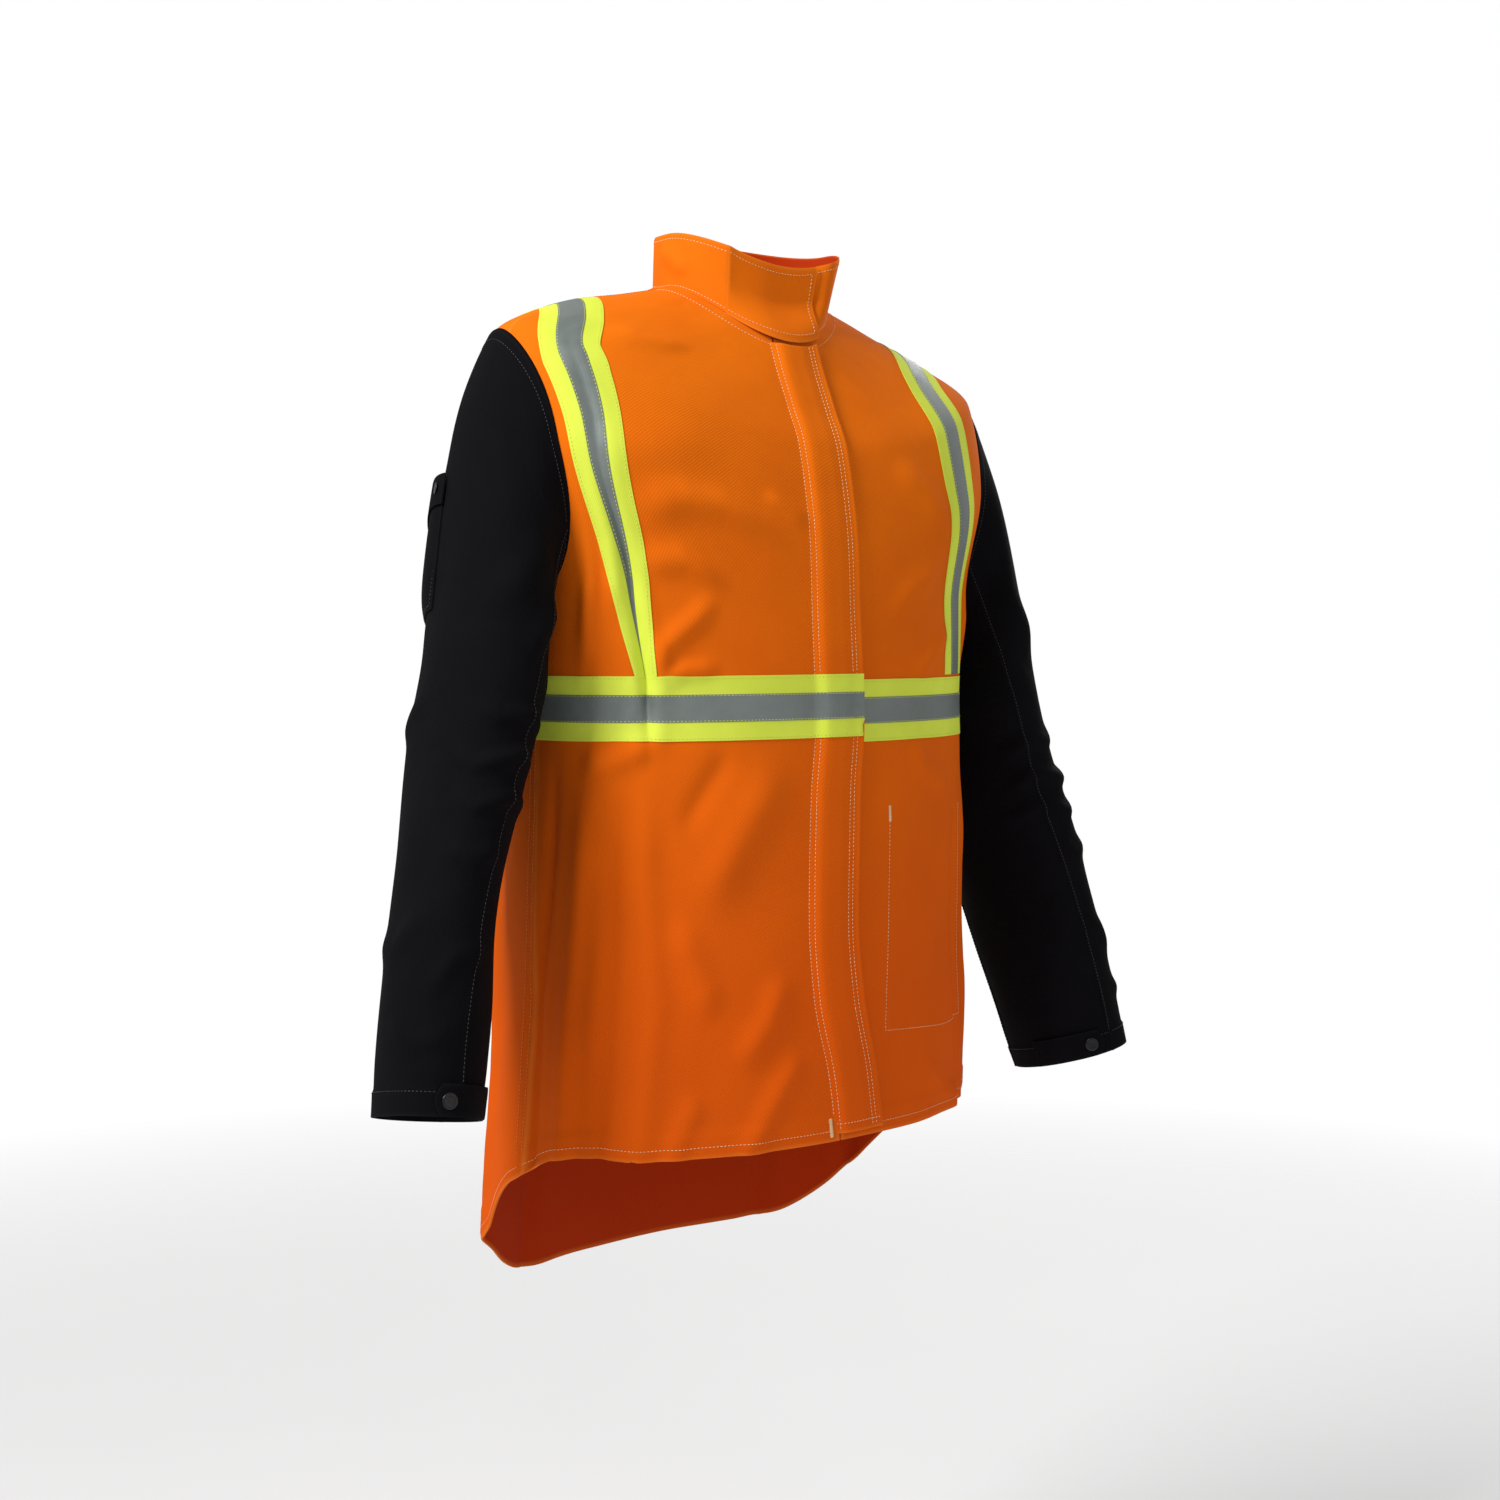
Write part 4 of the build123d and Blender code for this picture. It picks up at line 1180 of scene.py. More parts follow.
@dataclass
class Sewing:
    """Every row of one thread on one body."""

    name: str
    thread: Finish
    shape: bpy.types.Object
    thickness: float = 0.34
    length: float = 2.5

    def build(self, rows: Sequence[Row], moves: Moves,
              stands_for: Sequence[str] = ()) -> bpy.types.Object:
        """Makes the stitches as one mesh and dresses it."""
        parts = [row.places() for row in rows]
        points, runs, outs = (np.concatenate([p[c] for p in parts]) for c in range(3))
        size = (self.length / 2, self.thickness, self.thickness * 0.8)
        stitches = Scatter(self.name, self.shape, size, self.thread).build(points, runs, outs)
        return dress(stitches, self.thread, moves, stands_for)


# ------------------------------------------------------------------ the flap's path
FLAP_MIDDLE = Table([(0.0, 2), (0.30, 0), (0.52, 0), (0.62, -8), (0.76, -13), (0.84, -8),
                     (0.93, 7), (1.0, 15)])
FLAP_HALF = 27.0
FLAP_HINGE = Hinge("root", "storm_flap", (-0.046, -0.13, -0.4), (-0.012, -0.13, -0.4))
SIDE_SEAM = 86.0
WAIST = -367.0
TAPE_WIDTH, STRIPE_WIDTH = 54.0, 23.0
FLAP_ROWS = (-25.0, -20.5, 15.0, 19.5)
CLOTH = 1.2


def felled(gap: Array) -> Array:
    """How much thicker the cotton is at this many degrees from a felled seam."""
    return 0.7 * np.exp(-(gap * 4 / 4.5) ** 4)


def flap_angle(level: Array, offset: Array) -> Array:
    """The body angle of the line that stands this far from the flap's middle."""
    return BODY.angle_at(FLAP_MIDDLE(level)[0] + offset, level)


def flap_offset(angle: Array, level: Array) -> Array:
    """How far a front point stands from the flap's middle."""
    return BODY.bare(angle, level)[..., 0] - FLAP_MIDDLE(level)[0]


def flap_top(offset: Array) -> Array:
    """Height of the outside of the flap above the body's rule."""
    rise = 0.9 + 4.6 * smooth(offset, -FLAP_HALF - 1.5, -FLAP_HALF + 13)
    dimples = sum(np.exp(-((offset - row) / 1.6) ** 2) for row in FLAP_ROWS)
    puff = 0.7 * smooth(offset, -19, -8) * (1 - smooth(offset, 4, 14))
    return rise + puff - 0.35 * dimples


def front_top(angle: Array, level: Array) -> Array:
    """Height of the outermost cotton at the front, flap or panel."""
    offset = flap_offset(angle, level)
    on_flap = (offset > -FLAP_HALF - 1.5) & (offset < FLAP_HALF + 0.2)
    return np.where(on_flap, np.maximum(flap_top(offset), CLOTH), CLOTH)


@dataclass
class Body:
    """The cotton panels, facings, hems and the pocket inside."""

    facing: tuple[float, float] = (-1.7, -0.5)
    hem_level: float = 0.975

    def build(self) -> None:
        """Makes every panel of the body."""
        self._panels()
        self._facings()
        self._pocket()

    def _top(self, seams: Sequence[float]) -> Callable[[Place], Lift]:
        """The outer face of a panel, thicker at its hem and beside its seams."""
        def for_place(place: Place) -> Lift:
            """Binds the face to the panel's own place."""
            def lift(i: Array, j: Array) -> Array:
                """Height of the outer face."""
                angle, level = place(i, j)
                turned = 0.8 * smooth(level, self.hem_level - 0.004, self.hem_level)
                seam_rise = sum(felled(angle - seam) for seam in seams)
                return CLOTH + turned + seam_rise * (level > 0.02)
            return lift
        return for_place

    def _panels(self) -> None:
        """The back and the two fronts."""
        def right(i: Array, j: Array) -> tuple[Array, Array]:
            """The right front, from the side seam to under the flap."""
            edge = flap_angle(j, -FLAP_HALF + 5)
            return -SIDE_SEAM + (edge + SIDE_SEAM) * i, j

        def left(i: Array, j: Array) -> tuple[Array, Array]:
            """The left front, from under the flap to the side seam."""
            edge = flap_angle(j, -FLAP_HALF + 7)
            return edge + (SIDE_SEAM - edge) * i, j
        back = span_place((SIDE_SEAM, 360 - SIDE_SEAM), (0, 1))
        for name, place, counts, seams, node in (
                ("cotton_back", back, (150, 205), (SIDE_SEAM + 1.5, 358.5 - SIDE_SEAM),
                 "back_panel"),
                ("cotton_front_right", right, (84, 200), (), "front_panel_right"),
                ("cotton_front_left", left, (96, 200), (), "front_panel_left")):
            top = self._top(seams)(place)
            wall = Wall(name, BODY, place, counts, 0.0, top, armhole_hole)
            dress(wall.build(), COTTON, "root", (node,),
                  cut_of(BODY, place, outside_armholes))

    def _facings(self) -> None:
        """The turned-in strips behind the front edges."""
        for side, near, far in (("right", -60.0, -23.0), ("left", -19.0, 30.0)):
            def place(i: Array, j: Array, near: float = near, far: float = far
                      ) -> tuple[Array, Array]:
                """A strip that follows the flap's path."""
                level = 0.02 + 0.965 * j
                return flap_angle(level, near + (far - near) * i), level
            wall = Wall(f"cotton_facing_{side}", BODY, place, (12, 130), *self.facing)
            dress(wall.build(), COTTON, "root", (f"front_facing_{side}",),
                  cut_of(BODY, place))

    def _pocket(self) -> None:
        """The patch pocket inside the left front, open at the top."""
        place = span_place((13, 50), (0.645, 0.888))

        def depth(i: Array, j: Array) -> Array:
            """How far the pocket stands off the panel."""
            return 8.0 * (1 - np.abs(2 * i - 1) ** 4) * (1 - j**8)
        wall = Wall("cotton_pocket_inside", BODY, place, (50, 60),
                    lambda i, j: -2.1 - depth(i, j), lambda i, j: -0.9 - depth(i, j))
        dress(wall.build(), COTTON, "root", ("inside_pocket",), cut_of(BODY, place))


@dataclass
class StormFlap:
    """The flap over the front closure."""

    levels: tuple[float, float] = (0.012, 0.992)
    left_edge: float = -52.0

    def place(self, i: Array, j: Array) -> tuple[Array, Array]:
        """From inside the right front to the flap's free edge."""
        level = self.levels[0] + (self.levels[1] - self.levels[0]) * j
        middle = FLAP_MIDDLE(level)[0]
        start = np.minimum(-FLAP_HALF - 4, self.left_edge - middle)
        return flap_angle(level, start + (FLAP_HALF - start) * i), level

    def build(self) -> None:
        """Makes the flap and the facing under it."""
        def top(i: Array, j: Array) -> Array:
            """The outer face."""
            offset = flap_offset(*self.place(i, j))
            return flap_top(offset) + 0.6 * smooth(offset, FLAP_HALF - 3.5, FLAP_HALF - 2) * (
                1 - smooth(offset, FLAP_HALF - 0.9, FLAP_HALF))

        def under(i: Array, j: Array) -> Array:
            """The inner face."""
            offset = flap_offset(*self.place(i, j))
            return 0.3 + 3.9 * smooth(offset, -FLAP_HALF - 1.5, -FLAP_HALF + 13)
        wall = Wall("cotton_storm_flap", BODY, self.place, (64, 230), under, top)
        dress(wall.build(), COTTON, FLAP_HINGE, ("storm_flap",), cut_of(BODY, self.place))

        def lining(i: Array, j: Array) -> tuple[Array, Array]:
            """The facing inside the flap."""
            level = 0.03 + 0.955 * j
            return flap_angle(level, -15 + 40.5 * i), level
        facing = Wall("cotton_flap_facing", BODY, lining, (16, 130), 3.3, 4.1)
        dress(facing.build(), COTTON, FLAP_HINGE, ("storm_flap_facing",),
              cut_of(BODY, lining))


@dataclass
class Collar:
    """The stand-up collar with its overlapping tab, patches, label and hang loop."""

    thickness: float = 2.2
    crease: float = -43.0
    tab_end: float = 24.0
    band_end: float = -9.0

    def hinge(self) -> Hinge:
        """The crease at the right of the throat, about which the tab folds."""
        start = COLLAR.bare(np.array(self.crease - 2), np.array(0.5)) * MM
        end = COLLAR.bare(np.array(self.crease + 8), np.array(0.5)) * MM
        return Hinge("root", "collar_tab", tuple(start), tuple(end))

    def rise(self, angle: Array) -> Array:
        """How far the tab stands out to clear the end that it overlaps."""
        share = (angle - self.crease) / (self.tab_end - self.crease)
        return 3.7 * smooth(share, 0.0, 0.45)

    def build(self) -> None:
        """Makes every piece of the collar."""
        band = span_place((self.band_end, 360 + self.crease + 1.0), (-0.03, 1))

        def edge(i: Array, j: Array) -> Array:
            """The outer face, rolled at the top."""
            return self.thickness - 0.8 * smooth(j, 0.95, 1.0)

        def inside(i: Array, j: Array) -> Array:
            """The inner face, rolled at the top."""
            return 0.8 * smooth(j, 0.95, 1.0) + 0 * i
        wall = Wall("cotton_collar", COLLAR, band, (190, 24), inside, edge)
        dress(wall.build(), COTTON, "root", ("collar_band",), cut_of(COLLAR, band))
        tab = span_place((self.crease - 1.0, self.tab_end), (0.0, 1))
        wall = Wall("cotton_collar_tab", COLLAR, tab, (60, 24),
                    lambda i, j: self.rise(tab(i, j)[0]) + 0.7 * smooth(j, 0.95, 1.0),
                    lambda i, j: self.rise(tab(i, j)[0]) + edge(i, j))
        dress(wall.build(), COTTON, self.hinge(), ("collar_tab",), cut_of(COLLAR, tab))
        for name, angles, levels, lifts, finish, moves, node in (
                ("pad_loops", (-5, 20), (0.25, 0.75), (2.25, 2.8), HOOKS, "root",
                 "collar_loop_patch"),
                ("pad_hooks", (-2, 20), (0.27, 0.73), (3.1, 3.65), HOOKS, self.hinge(),
                 "collar_hook_patch"),
                ("pad_parking", (-72, -50), (0.3, 0.75), (-0.9, -0.1), HOOKS, "root",
                 "collar_parking_patch"),
                ("label_blank", (160, 200), (0.35, 0.80), (-0.9, -0.1), LABEL, "root",
                 "neck_label")):
            place = span_place(angles, levels)
            wall = Wall(name, COLLAR, place, (26, 22), *lifts)
            dress(wall.build(), finish, moves, (node,), cut_of(COLLAR, place))
        self._loop()

    def _loop(self) -> None:
        """A ribbon sewn inside the back of the neck at both its ends."""
        half, top, drop, thick = 26.0, 19.0, 17.0, 1.5
        t = np.linspace(0, 1, 61)
        turn = math.pi * t
        squared = 0.55
        x = -half * rounded(np.cos(turn), squared)
        z = top - drop * rounded(np.sin(turn), squared)
        path = np.stack([x, z], -1)
        way = np.gradient(path, axis=0)
        way /= np.linalg.norm(way, axis=1, keepdims=True)
        side = np.stack([way[:, 1], -way[:, 0]], -1)
        points = []
        for k in range(len(t)):
            for reach, out in ((-4, 0), (-3.2, thick / 2), (3.2, thick / 2), (4, 0),
                               (3.2, -thick / 2), (-3.2, -thick / 2)):
                px, pz = path[k] + side[k] * reach
                points.append((px, 62.3 - out, pz))
        faces = tube_faces(len(t), 6, closed=False)
        faces += [tuple(range(5, -1, -1)), tuple(range(6 * len(t) - 6, 6 * len(t)))]
        obj = new_object("cotton_hang_loop", np.array(points), faces)
        finish_tube(obj, 0, 2)
        dress(obj, COTTON, "hang_loop", ("hang_loop",))


@dataclass
class Tapes:
    """The lime and silver tapes round the waist and over the shoulders."""

    low_side: float = WAIST - 5

    def build(self) -> None:
        """Makes each tape and the stripe on it."""
        edge = float(flap_angle(np.array(0.52), np.array(FLAP_HALF - 0.4)))
        under = float(flap_angle(np.array(0.52), np.array(-14.0)))
        for kind, width, over, thick, finish in (
                ("tape", TAPE_WIDTH, 0.25, 0.5, LIME),
                ("stripe", STRIPE_WIDTH, 0.75, 0.35, SILVER)):
            for name, angles, height, columns, moves, nodes in (
                    ("front", (-SIDE_SEAM, edge), WAIST, 150, FLAP_HINGE,
                     (f"waist_{kind}_right", f"waist_{kind}_flap")),
                    ("left", (under, SIDE_SEAM), self.low_side, 130, "root",
                     (f"waist_{kind}_left",)),
                    ("back", (SIDE_SEAM, 360 - SIDE_SEAM), WAIST, 230, "root",
                     (f"waist_{kind}_back",))):
                self._band(f"{kind}_waist_{name}", angles, height, width, over, thick,
                           columns, finish, moves, nodes, name)
            for side in SIGN:
                self._strap(f"{kind}_shoulder_{side}", side, kind, over, thick, finish,
                            (f"shoulder_{kind}_{side}",))

    def _band(self, name: str, angles: tuple[float, float], height: float, width: float,
              over: float, thick: float, columns: int, finish: Finish, moves: Moves,
              nodes: Sequence[str], where: str) -> None:
        """One length of a level tape."""
        def place(i: Array, j: Array) -> tuple[Array, Array]:
            """Along the tape and down its width."""
            angle = angles[0] + (angles[1] - angles[0]) * i
            drop = height + (5 * smooth(angle, 58, SIDE_SEAM) if where == "left" else 0)
            return angle, BODY.level_at(angle, drop + width / 2 - width * j)

        def panel_top(angle: Array) -> Array:
            """The panel's outer face, with the felled side seam."""
            return CLOTH + felled(np.minimum(np.abs(angle - SIDE_SEAM - 1.5),
                                             np.abs(angle - 358.5 + SIDE_SEAM)))

        def base(i: Array, j: Array) -> Array:
            """The cotton under the tape."""
            angle, level = place(i, j)
            return front_top(angle, level) if where == "front" else panel_top(angle)
        wall = Wall(name, BODY, place, (columns, 12 if width > 30 else 7),
                    lambda i, j: base(i, j) + over, lambda i, j: base(i, j) + over + thick)
        dress(wall.build(), finish, moves, nodes, cut_of(BODY, place))

    def half_width(self, side: str, kind: str, t: Array) -> Array:
        """Half of a shoulder tape's width, narrower where the pleat gathers it."""
        pinch = PINCH(t)[0] if side == "right" else 0 * t
        stripe = STRIPE_WIDTH / 2 * (1 - 0.97 * pinch)
        if kind == "stripe":
            return stripe
        return stripe + (TAPE_WIDTH - STRIPE_WIDTH) / 2 * (1 - 0.42 * pinch)

    def strap_place(self, side: str, kind: str) -> Place:
        """The place of a shoulder tape or stripe on the body."""
        def place(i: Array, j: Array) -> tuple[Array, Array]:
            """Across the tape and along it, waist to waist over the shoulder."""
            angle, level = SHOULDER_TAPE[side](j)
            a0, v0 = SHOULDER_TAPE[side](np.maximum(j - 0.01, 0))
            a1, v1 = SHOULDER_TAPE[side](np.minimum(j + 0.01, 1))
            along = BODY.bare(a1, v1) - BODY.bare(a0, v0)
            along /= np.linalg.norm(along, axis=-1, keepdims=True)
            across = np.cross(along, BODY.normal(BODY.bare, angle, level))
            reach = self.half_width(side, kind, j) * (2 * i - 1)
            return BODY.walk(angle, level, across, reach)
        return place

    def _strap(self, name: str, side: str, kind: str, over: float, thick: float,
               finish: Finish, nodes: Sequence[str]) -> None:
        """One shoulder tape or stripe."""
        place = self.strap_place(side, kind)
        wall = Wall(name, BODY, place, (17 if kind == "tape" else 9, 230), CLOTH + over,
                    CLOTH + over + thick)
        dress(wall.build(), finish, "root", nodes, cut_of(BODY, place))


@dataclass
class Sleeve:
    """One leather sleeve with its cuff and, on the right, a pen pocket."""

    side: str
    leather: float = 1.4
    under: tuple[float, float] = (115.0, 240.0)
    pocket_angles: tuple[float, float] = (-64.0, -12.0)
    pocket_levels: tuple[float, float] = (0.185, 0.325)
    strap_angles: tuple[float, float] = (-14.0, 58.0)
    strap_fold: float = 11.0
    strap_level: float = 0.978
    bend_tilt: float = math.radians(12)
    bend_length: float = 0.030

    def __post_init__(self) -> None:
        """Finds the rule and the hinge of this side."""
        sign = SIGN[self.side]
        self.rule = SLEEVES[self.side]
        way = np.array([sign * math.cos(self.bend_tilt), 0.0, -math.sin(self.bend_tilt)])
        edge = BODY.armhole(self.side, np.linspace(0, 360, 73)) * MM
        start = edge[np.argmax(edge @ way)]
        self.hinge = Hinge("root", f"sleeve_{self.side}", tuple(start),
                           tuple(start + self.bend_length * way))

    def build(self) -> None:
        """Makes every piece of the sleeve."""
        upper = (self.under[1] - 360, self.under[0])
        for name, angles, columns in (("upper", upper, 130), ("under", self.under, 72)):
            place = span_place(angles, (0, 1))

            def top(i: Array, j: Array, name: str = name) -> Array:
                """The outer face: the upper sleeve laps over the under one."""
                lap = np.exp(-(np.minimum(i, 1 - i) * (240 if name == "upper" else 125)
                               / 5.0) ** 4)
                rise = 0.9 * lap if name == "upper" else 0 * lap
                hem = 1.2 * smooth(j, 0.962, 0.966)
                return self.leather + rise + hem
            wall = Wall(f"leather_{name}_{self.side}", self.rule, place, (columns, 190), 0.0,
                        top)
            dress(wall.build(), SPLIT, self.hinge, (f"{name}_sleeve_{self.side}",),
                  cut_of(self.rule, place))
        self._cuff()
        self._welt()
        if self.side == "right":
            self._pen_pocket()

    def _cuff(self) -> None:
        """The cuff's facing and its strap, whose rounded end lies over the snap."""
        side, body = self.side, f"sleeve_{self.side}"
        facing = span_place((0, 360), (0.94, 0.997))
        wall = Wall(f"leather_facing_{side}", self.rule, facing, (120, 8), -1.8, -0.3)
        dress(wall.build(), SPLIT, body, (f"cuff_facing_{side}",),
              cut_of(self.rule, facing))
        snap = SNAP_ANGLE[side]
        first, last = self.strap_angles

        def strap(i: Array, j: Array) -> tuple[Array, Array]:
            """The strap, with its snap end rounded."""
            angle = snap + first + (last - first) * i
            round_end = 1 - 0.62 * (1 - smooth(i, 0.0, 0.13)) ** 2
            return angle, self.strap_level + 0.0215 * (2 * j - 1) * round_end

        def strap_top(i: Array, j: Array) -> Array:
            """The strap's outer face, with softened edges."""
            return 4.6 - 0.5 * np.abs(2 * j - 1) ** 6
        bend = self.rule.bare(np.array([snap + last, snap + last - self.strap_fold]),
                              np.array(self.strap_level)) * MM

        def strap_under(i: Array, j: Array) -> Array:
            """The strap's inner face."""
            return 3.0 + 0 * i
        wall = Wall(f"leather_strap_{side}", self.rule, strap, (44, 11), strap_under,
                    strap_top)
        hinge = Hinge(body, f"cuff_tab_{side}", tuple(bend[0]), tuple(bend[1]))
        dress(wall.build(), SPLIT, hinge, (f"cuff_tab_{side}",), cut_of(self.rule, strap))

    def _welt(self) -> None:
        """The rolled leather edge where the sleeve is sewn into the armhole."""
        t = np.linspace(0, 360, 181)[:-1]
        sign = SIGN[self.side]
        middle = BODY.armhole(self.side, t) + np.array([sign * 1.6, 0, 0])
        way = np.roll(middle, -1, 0) - np.roll(middle, 1, 0)
        way /= np.linalg.norm(way, axis=1, keepdims=True)
        centre = middle.mean(axis=0)
        spoke = middle - centre
        spoke[:, 0] = 0
        spoke /= np.linalg.norm(spoke, axis=1, keepdims=True)
        out = np.cross(way, spoke)
        out /= np.linalg.norm(out, axis=1, keepdims=True)
        out *= np.sign(out[:, :1] * sign)
        around = 8
        points = []
        for k in range(around):
            turn = 2 * math.pi * k / around
            points.append(middle + spoke * 2.2 * math.cos(turn) + out * 1.9 * math.sin(turn))
        points = np.stack(points, 1).reshape(-1, 3)
        obj = new_object(f"leather_welt_{self.side}", points,
                         tube_faces(len(t), around, closed=True))
        finish_tube(obj, 1, 2)
        dress(obj, SPLIT, "root")

    @staticmethod
    def _bulge(i: Array) -> Array:
        """How far the pen pocket and its flap stand off the sleeve, across their width."""
        return 5.4 * (1 - np.abs(2 * i - 1) ** 4)

    def _pen_pocket(self) -> None:
        """The pen pocket, its flap and the flap's hinge."""
        place = span_place(self.pocket_angles, self.pocket_levels)
        wall = Wall("leather_pen_pocket", self.rule, place, (44, 56),
                    lambda i, j: 1.6 + self._bulge(i) * (1 - j**8),
                    lambda i, j: 2.9 + self._bulge(i) * (1 - j**8))
        dress(wall.build(), SPLIT, self.hinge, ("pen_pocket",), cut_of(self.rule, place))
        top = self.pocket_levels[0] - 0.012
        flap = span_place((self.pocket_angles[0] - 2, self.pocket_angles[1] + 2),
                          (top, top + 0.035))
        wall = Wall("leather_pen_flap", self.rule, flap, (46, 16),
                    lambda i, j: 3.3 + self._bulge(i), lambda i, j: 4.7 + self._bulge(i))
        middle = sum(self.pocket_angles) / 2
        start = self.rule.bare(np.array(middle), np.array(top)) * MM
        end = self.rule.bare(np.array(middle), np.array(top + 0.008)) * MM
        hinge = Hinge("sleeve_right", "pen_pocket_flap", tuple(start), tuple(end))
        dress(wall.build(), SPLIT, hinge, ("pen_pocket_flap",), cut_of(self.rule, flap))


@dataclass
class Fastenings:
    """Snaps, studs and sockets, each a turned shape placed on its cloth."""

    cap_radius: float = 6.4
    heights: tuple[float, ...] = (-105, -210, -310, -430, -550, -670)

    def __post_init__(self) -> None:
        """Turns the three shapes once."""
        r = self.cap_radius
        self.cap = lathe_shape("snap_cap_shape", (
            (0, 0), (r * 0.94, 0), (r, 0.35), (r * 0.98, 0.8), (r * 0.86, 1.15),
            (r * 0.62, 1.32), (r * 0.54, 1.12), (r * 0.30, 1.22), (0, 1.28)), 40)
        self.stud = lathe_shape("snap_stud_shape", (
            (0, 0), (5.0, 0), (5.0, 0.4), (3.4, 0.7), (1.8, 0.9), (1.8, 1.5), (1.5, 1.75),
            (0, 1.8)), 32)
        self.socket = lathe_shape("snap_socket_shape", (
            (5.4, 0), (5.4, 0.5), (4.4, 0.75), (2.8, 0.7), (2.4, 0.45), (2.4, 0)), 32)

    def _set(self, name: str, shape: bpy.types.Object, rule: Rule, places: Array,
             lift: float, moves: Moves, nodes: Sequence[str], flip: bool = False,
             scale: float = 1.0) -> None:
        """Places copies of one shape on a rule."""
        angle, level = places[:, 0], places[:, 1]
        points, outs = rule.skin(angle, level)
        points = points + outs * lift
        runs = np.cross(outs, np.array([0, 0, 1.0]))
        copies = Scatter(name, shape, (scale, scale, scale), ENAMEL, 0.0)
        obj = copies.build(points, runs, -outs if flip else outs)
        dress(obj, ENAMEL, moves, nodes)

    def build(self, sleeves: dict[str, Sleeve]) -> None:
        """Places every fastening."""
        height = np.array(self.heights, float)
        level = BODY.level_at(np.zeros(height.shape), height)
        spots = np.stack([flap_angle(level, 4.0), level], -1)
        self._set("snaps_flap_studs", self.stud, BODY, spots, CLOTH, "root",
                  ("flap_snap_studs",))
        self._set("snaps_flap_sockets", self.socket, BODY, spots, 3.25, FLAP_HINGE,
                  ("flap_snap_sockets",), flip=True)
        for side, sleeve in sleeves.items():
            spot = np.array([[SNAP_ANGLE[side], 0.979]])
            self._set(f"snap_cuff_stud_{side}", self.stud, sleeve.rule, spot, 2.5,
                      f"sleeve_{side}", (f"cuff_snap_stud_{side}",), scale=0.8)
            self._set(f"snap_cuff_cap_{side}", self.cap, sleeve.rule, spot, 4.5,
                      f"cuff_tab_{side}", (f"cuff_snap_cap_{side}",))
        spot = np.array([[-17.0, 0.188]])
        self._set("snap_pen_cap", self.cap, SLEEVES["right"], spot, 8.2, "pen_pocket_flap",
                  ("pen_pocket_snap_cap",), scale=0.8)


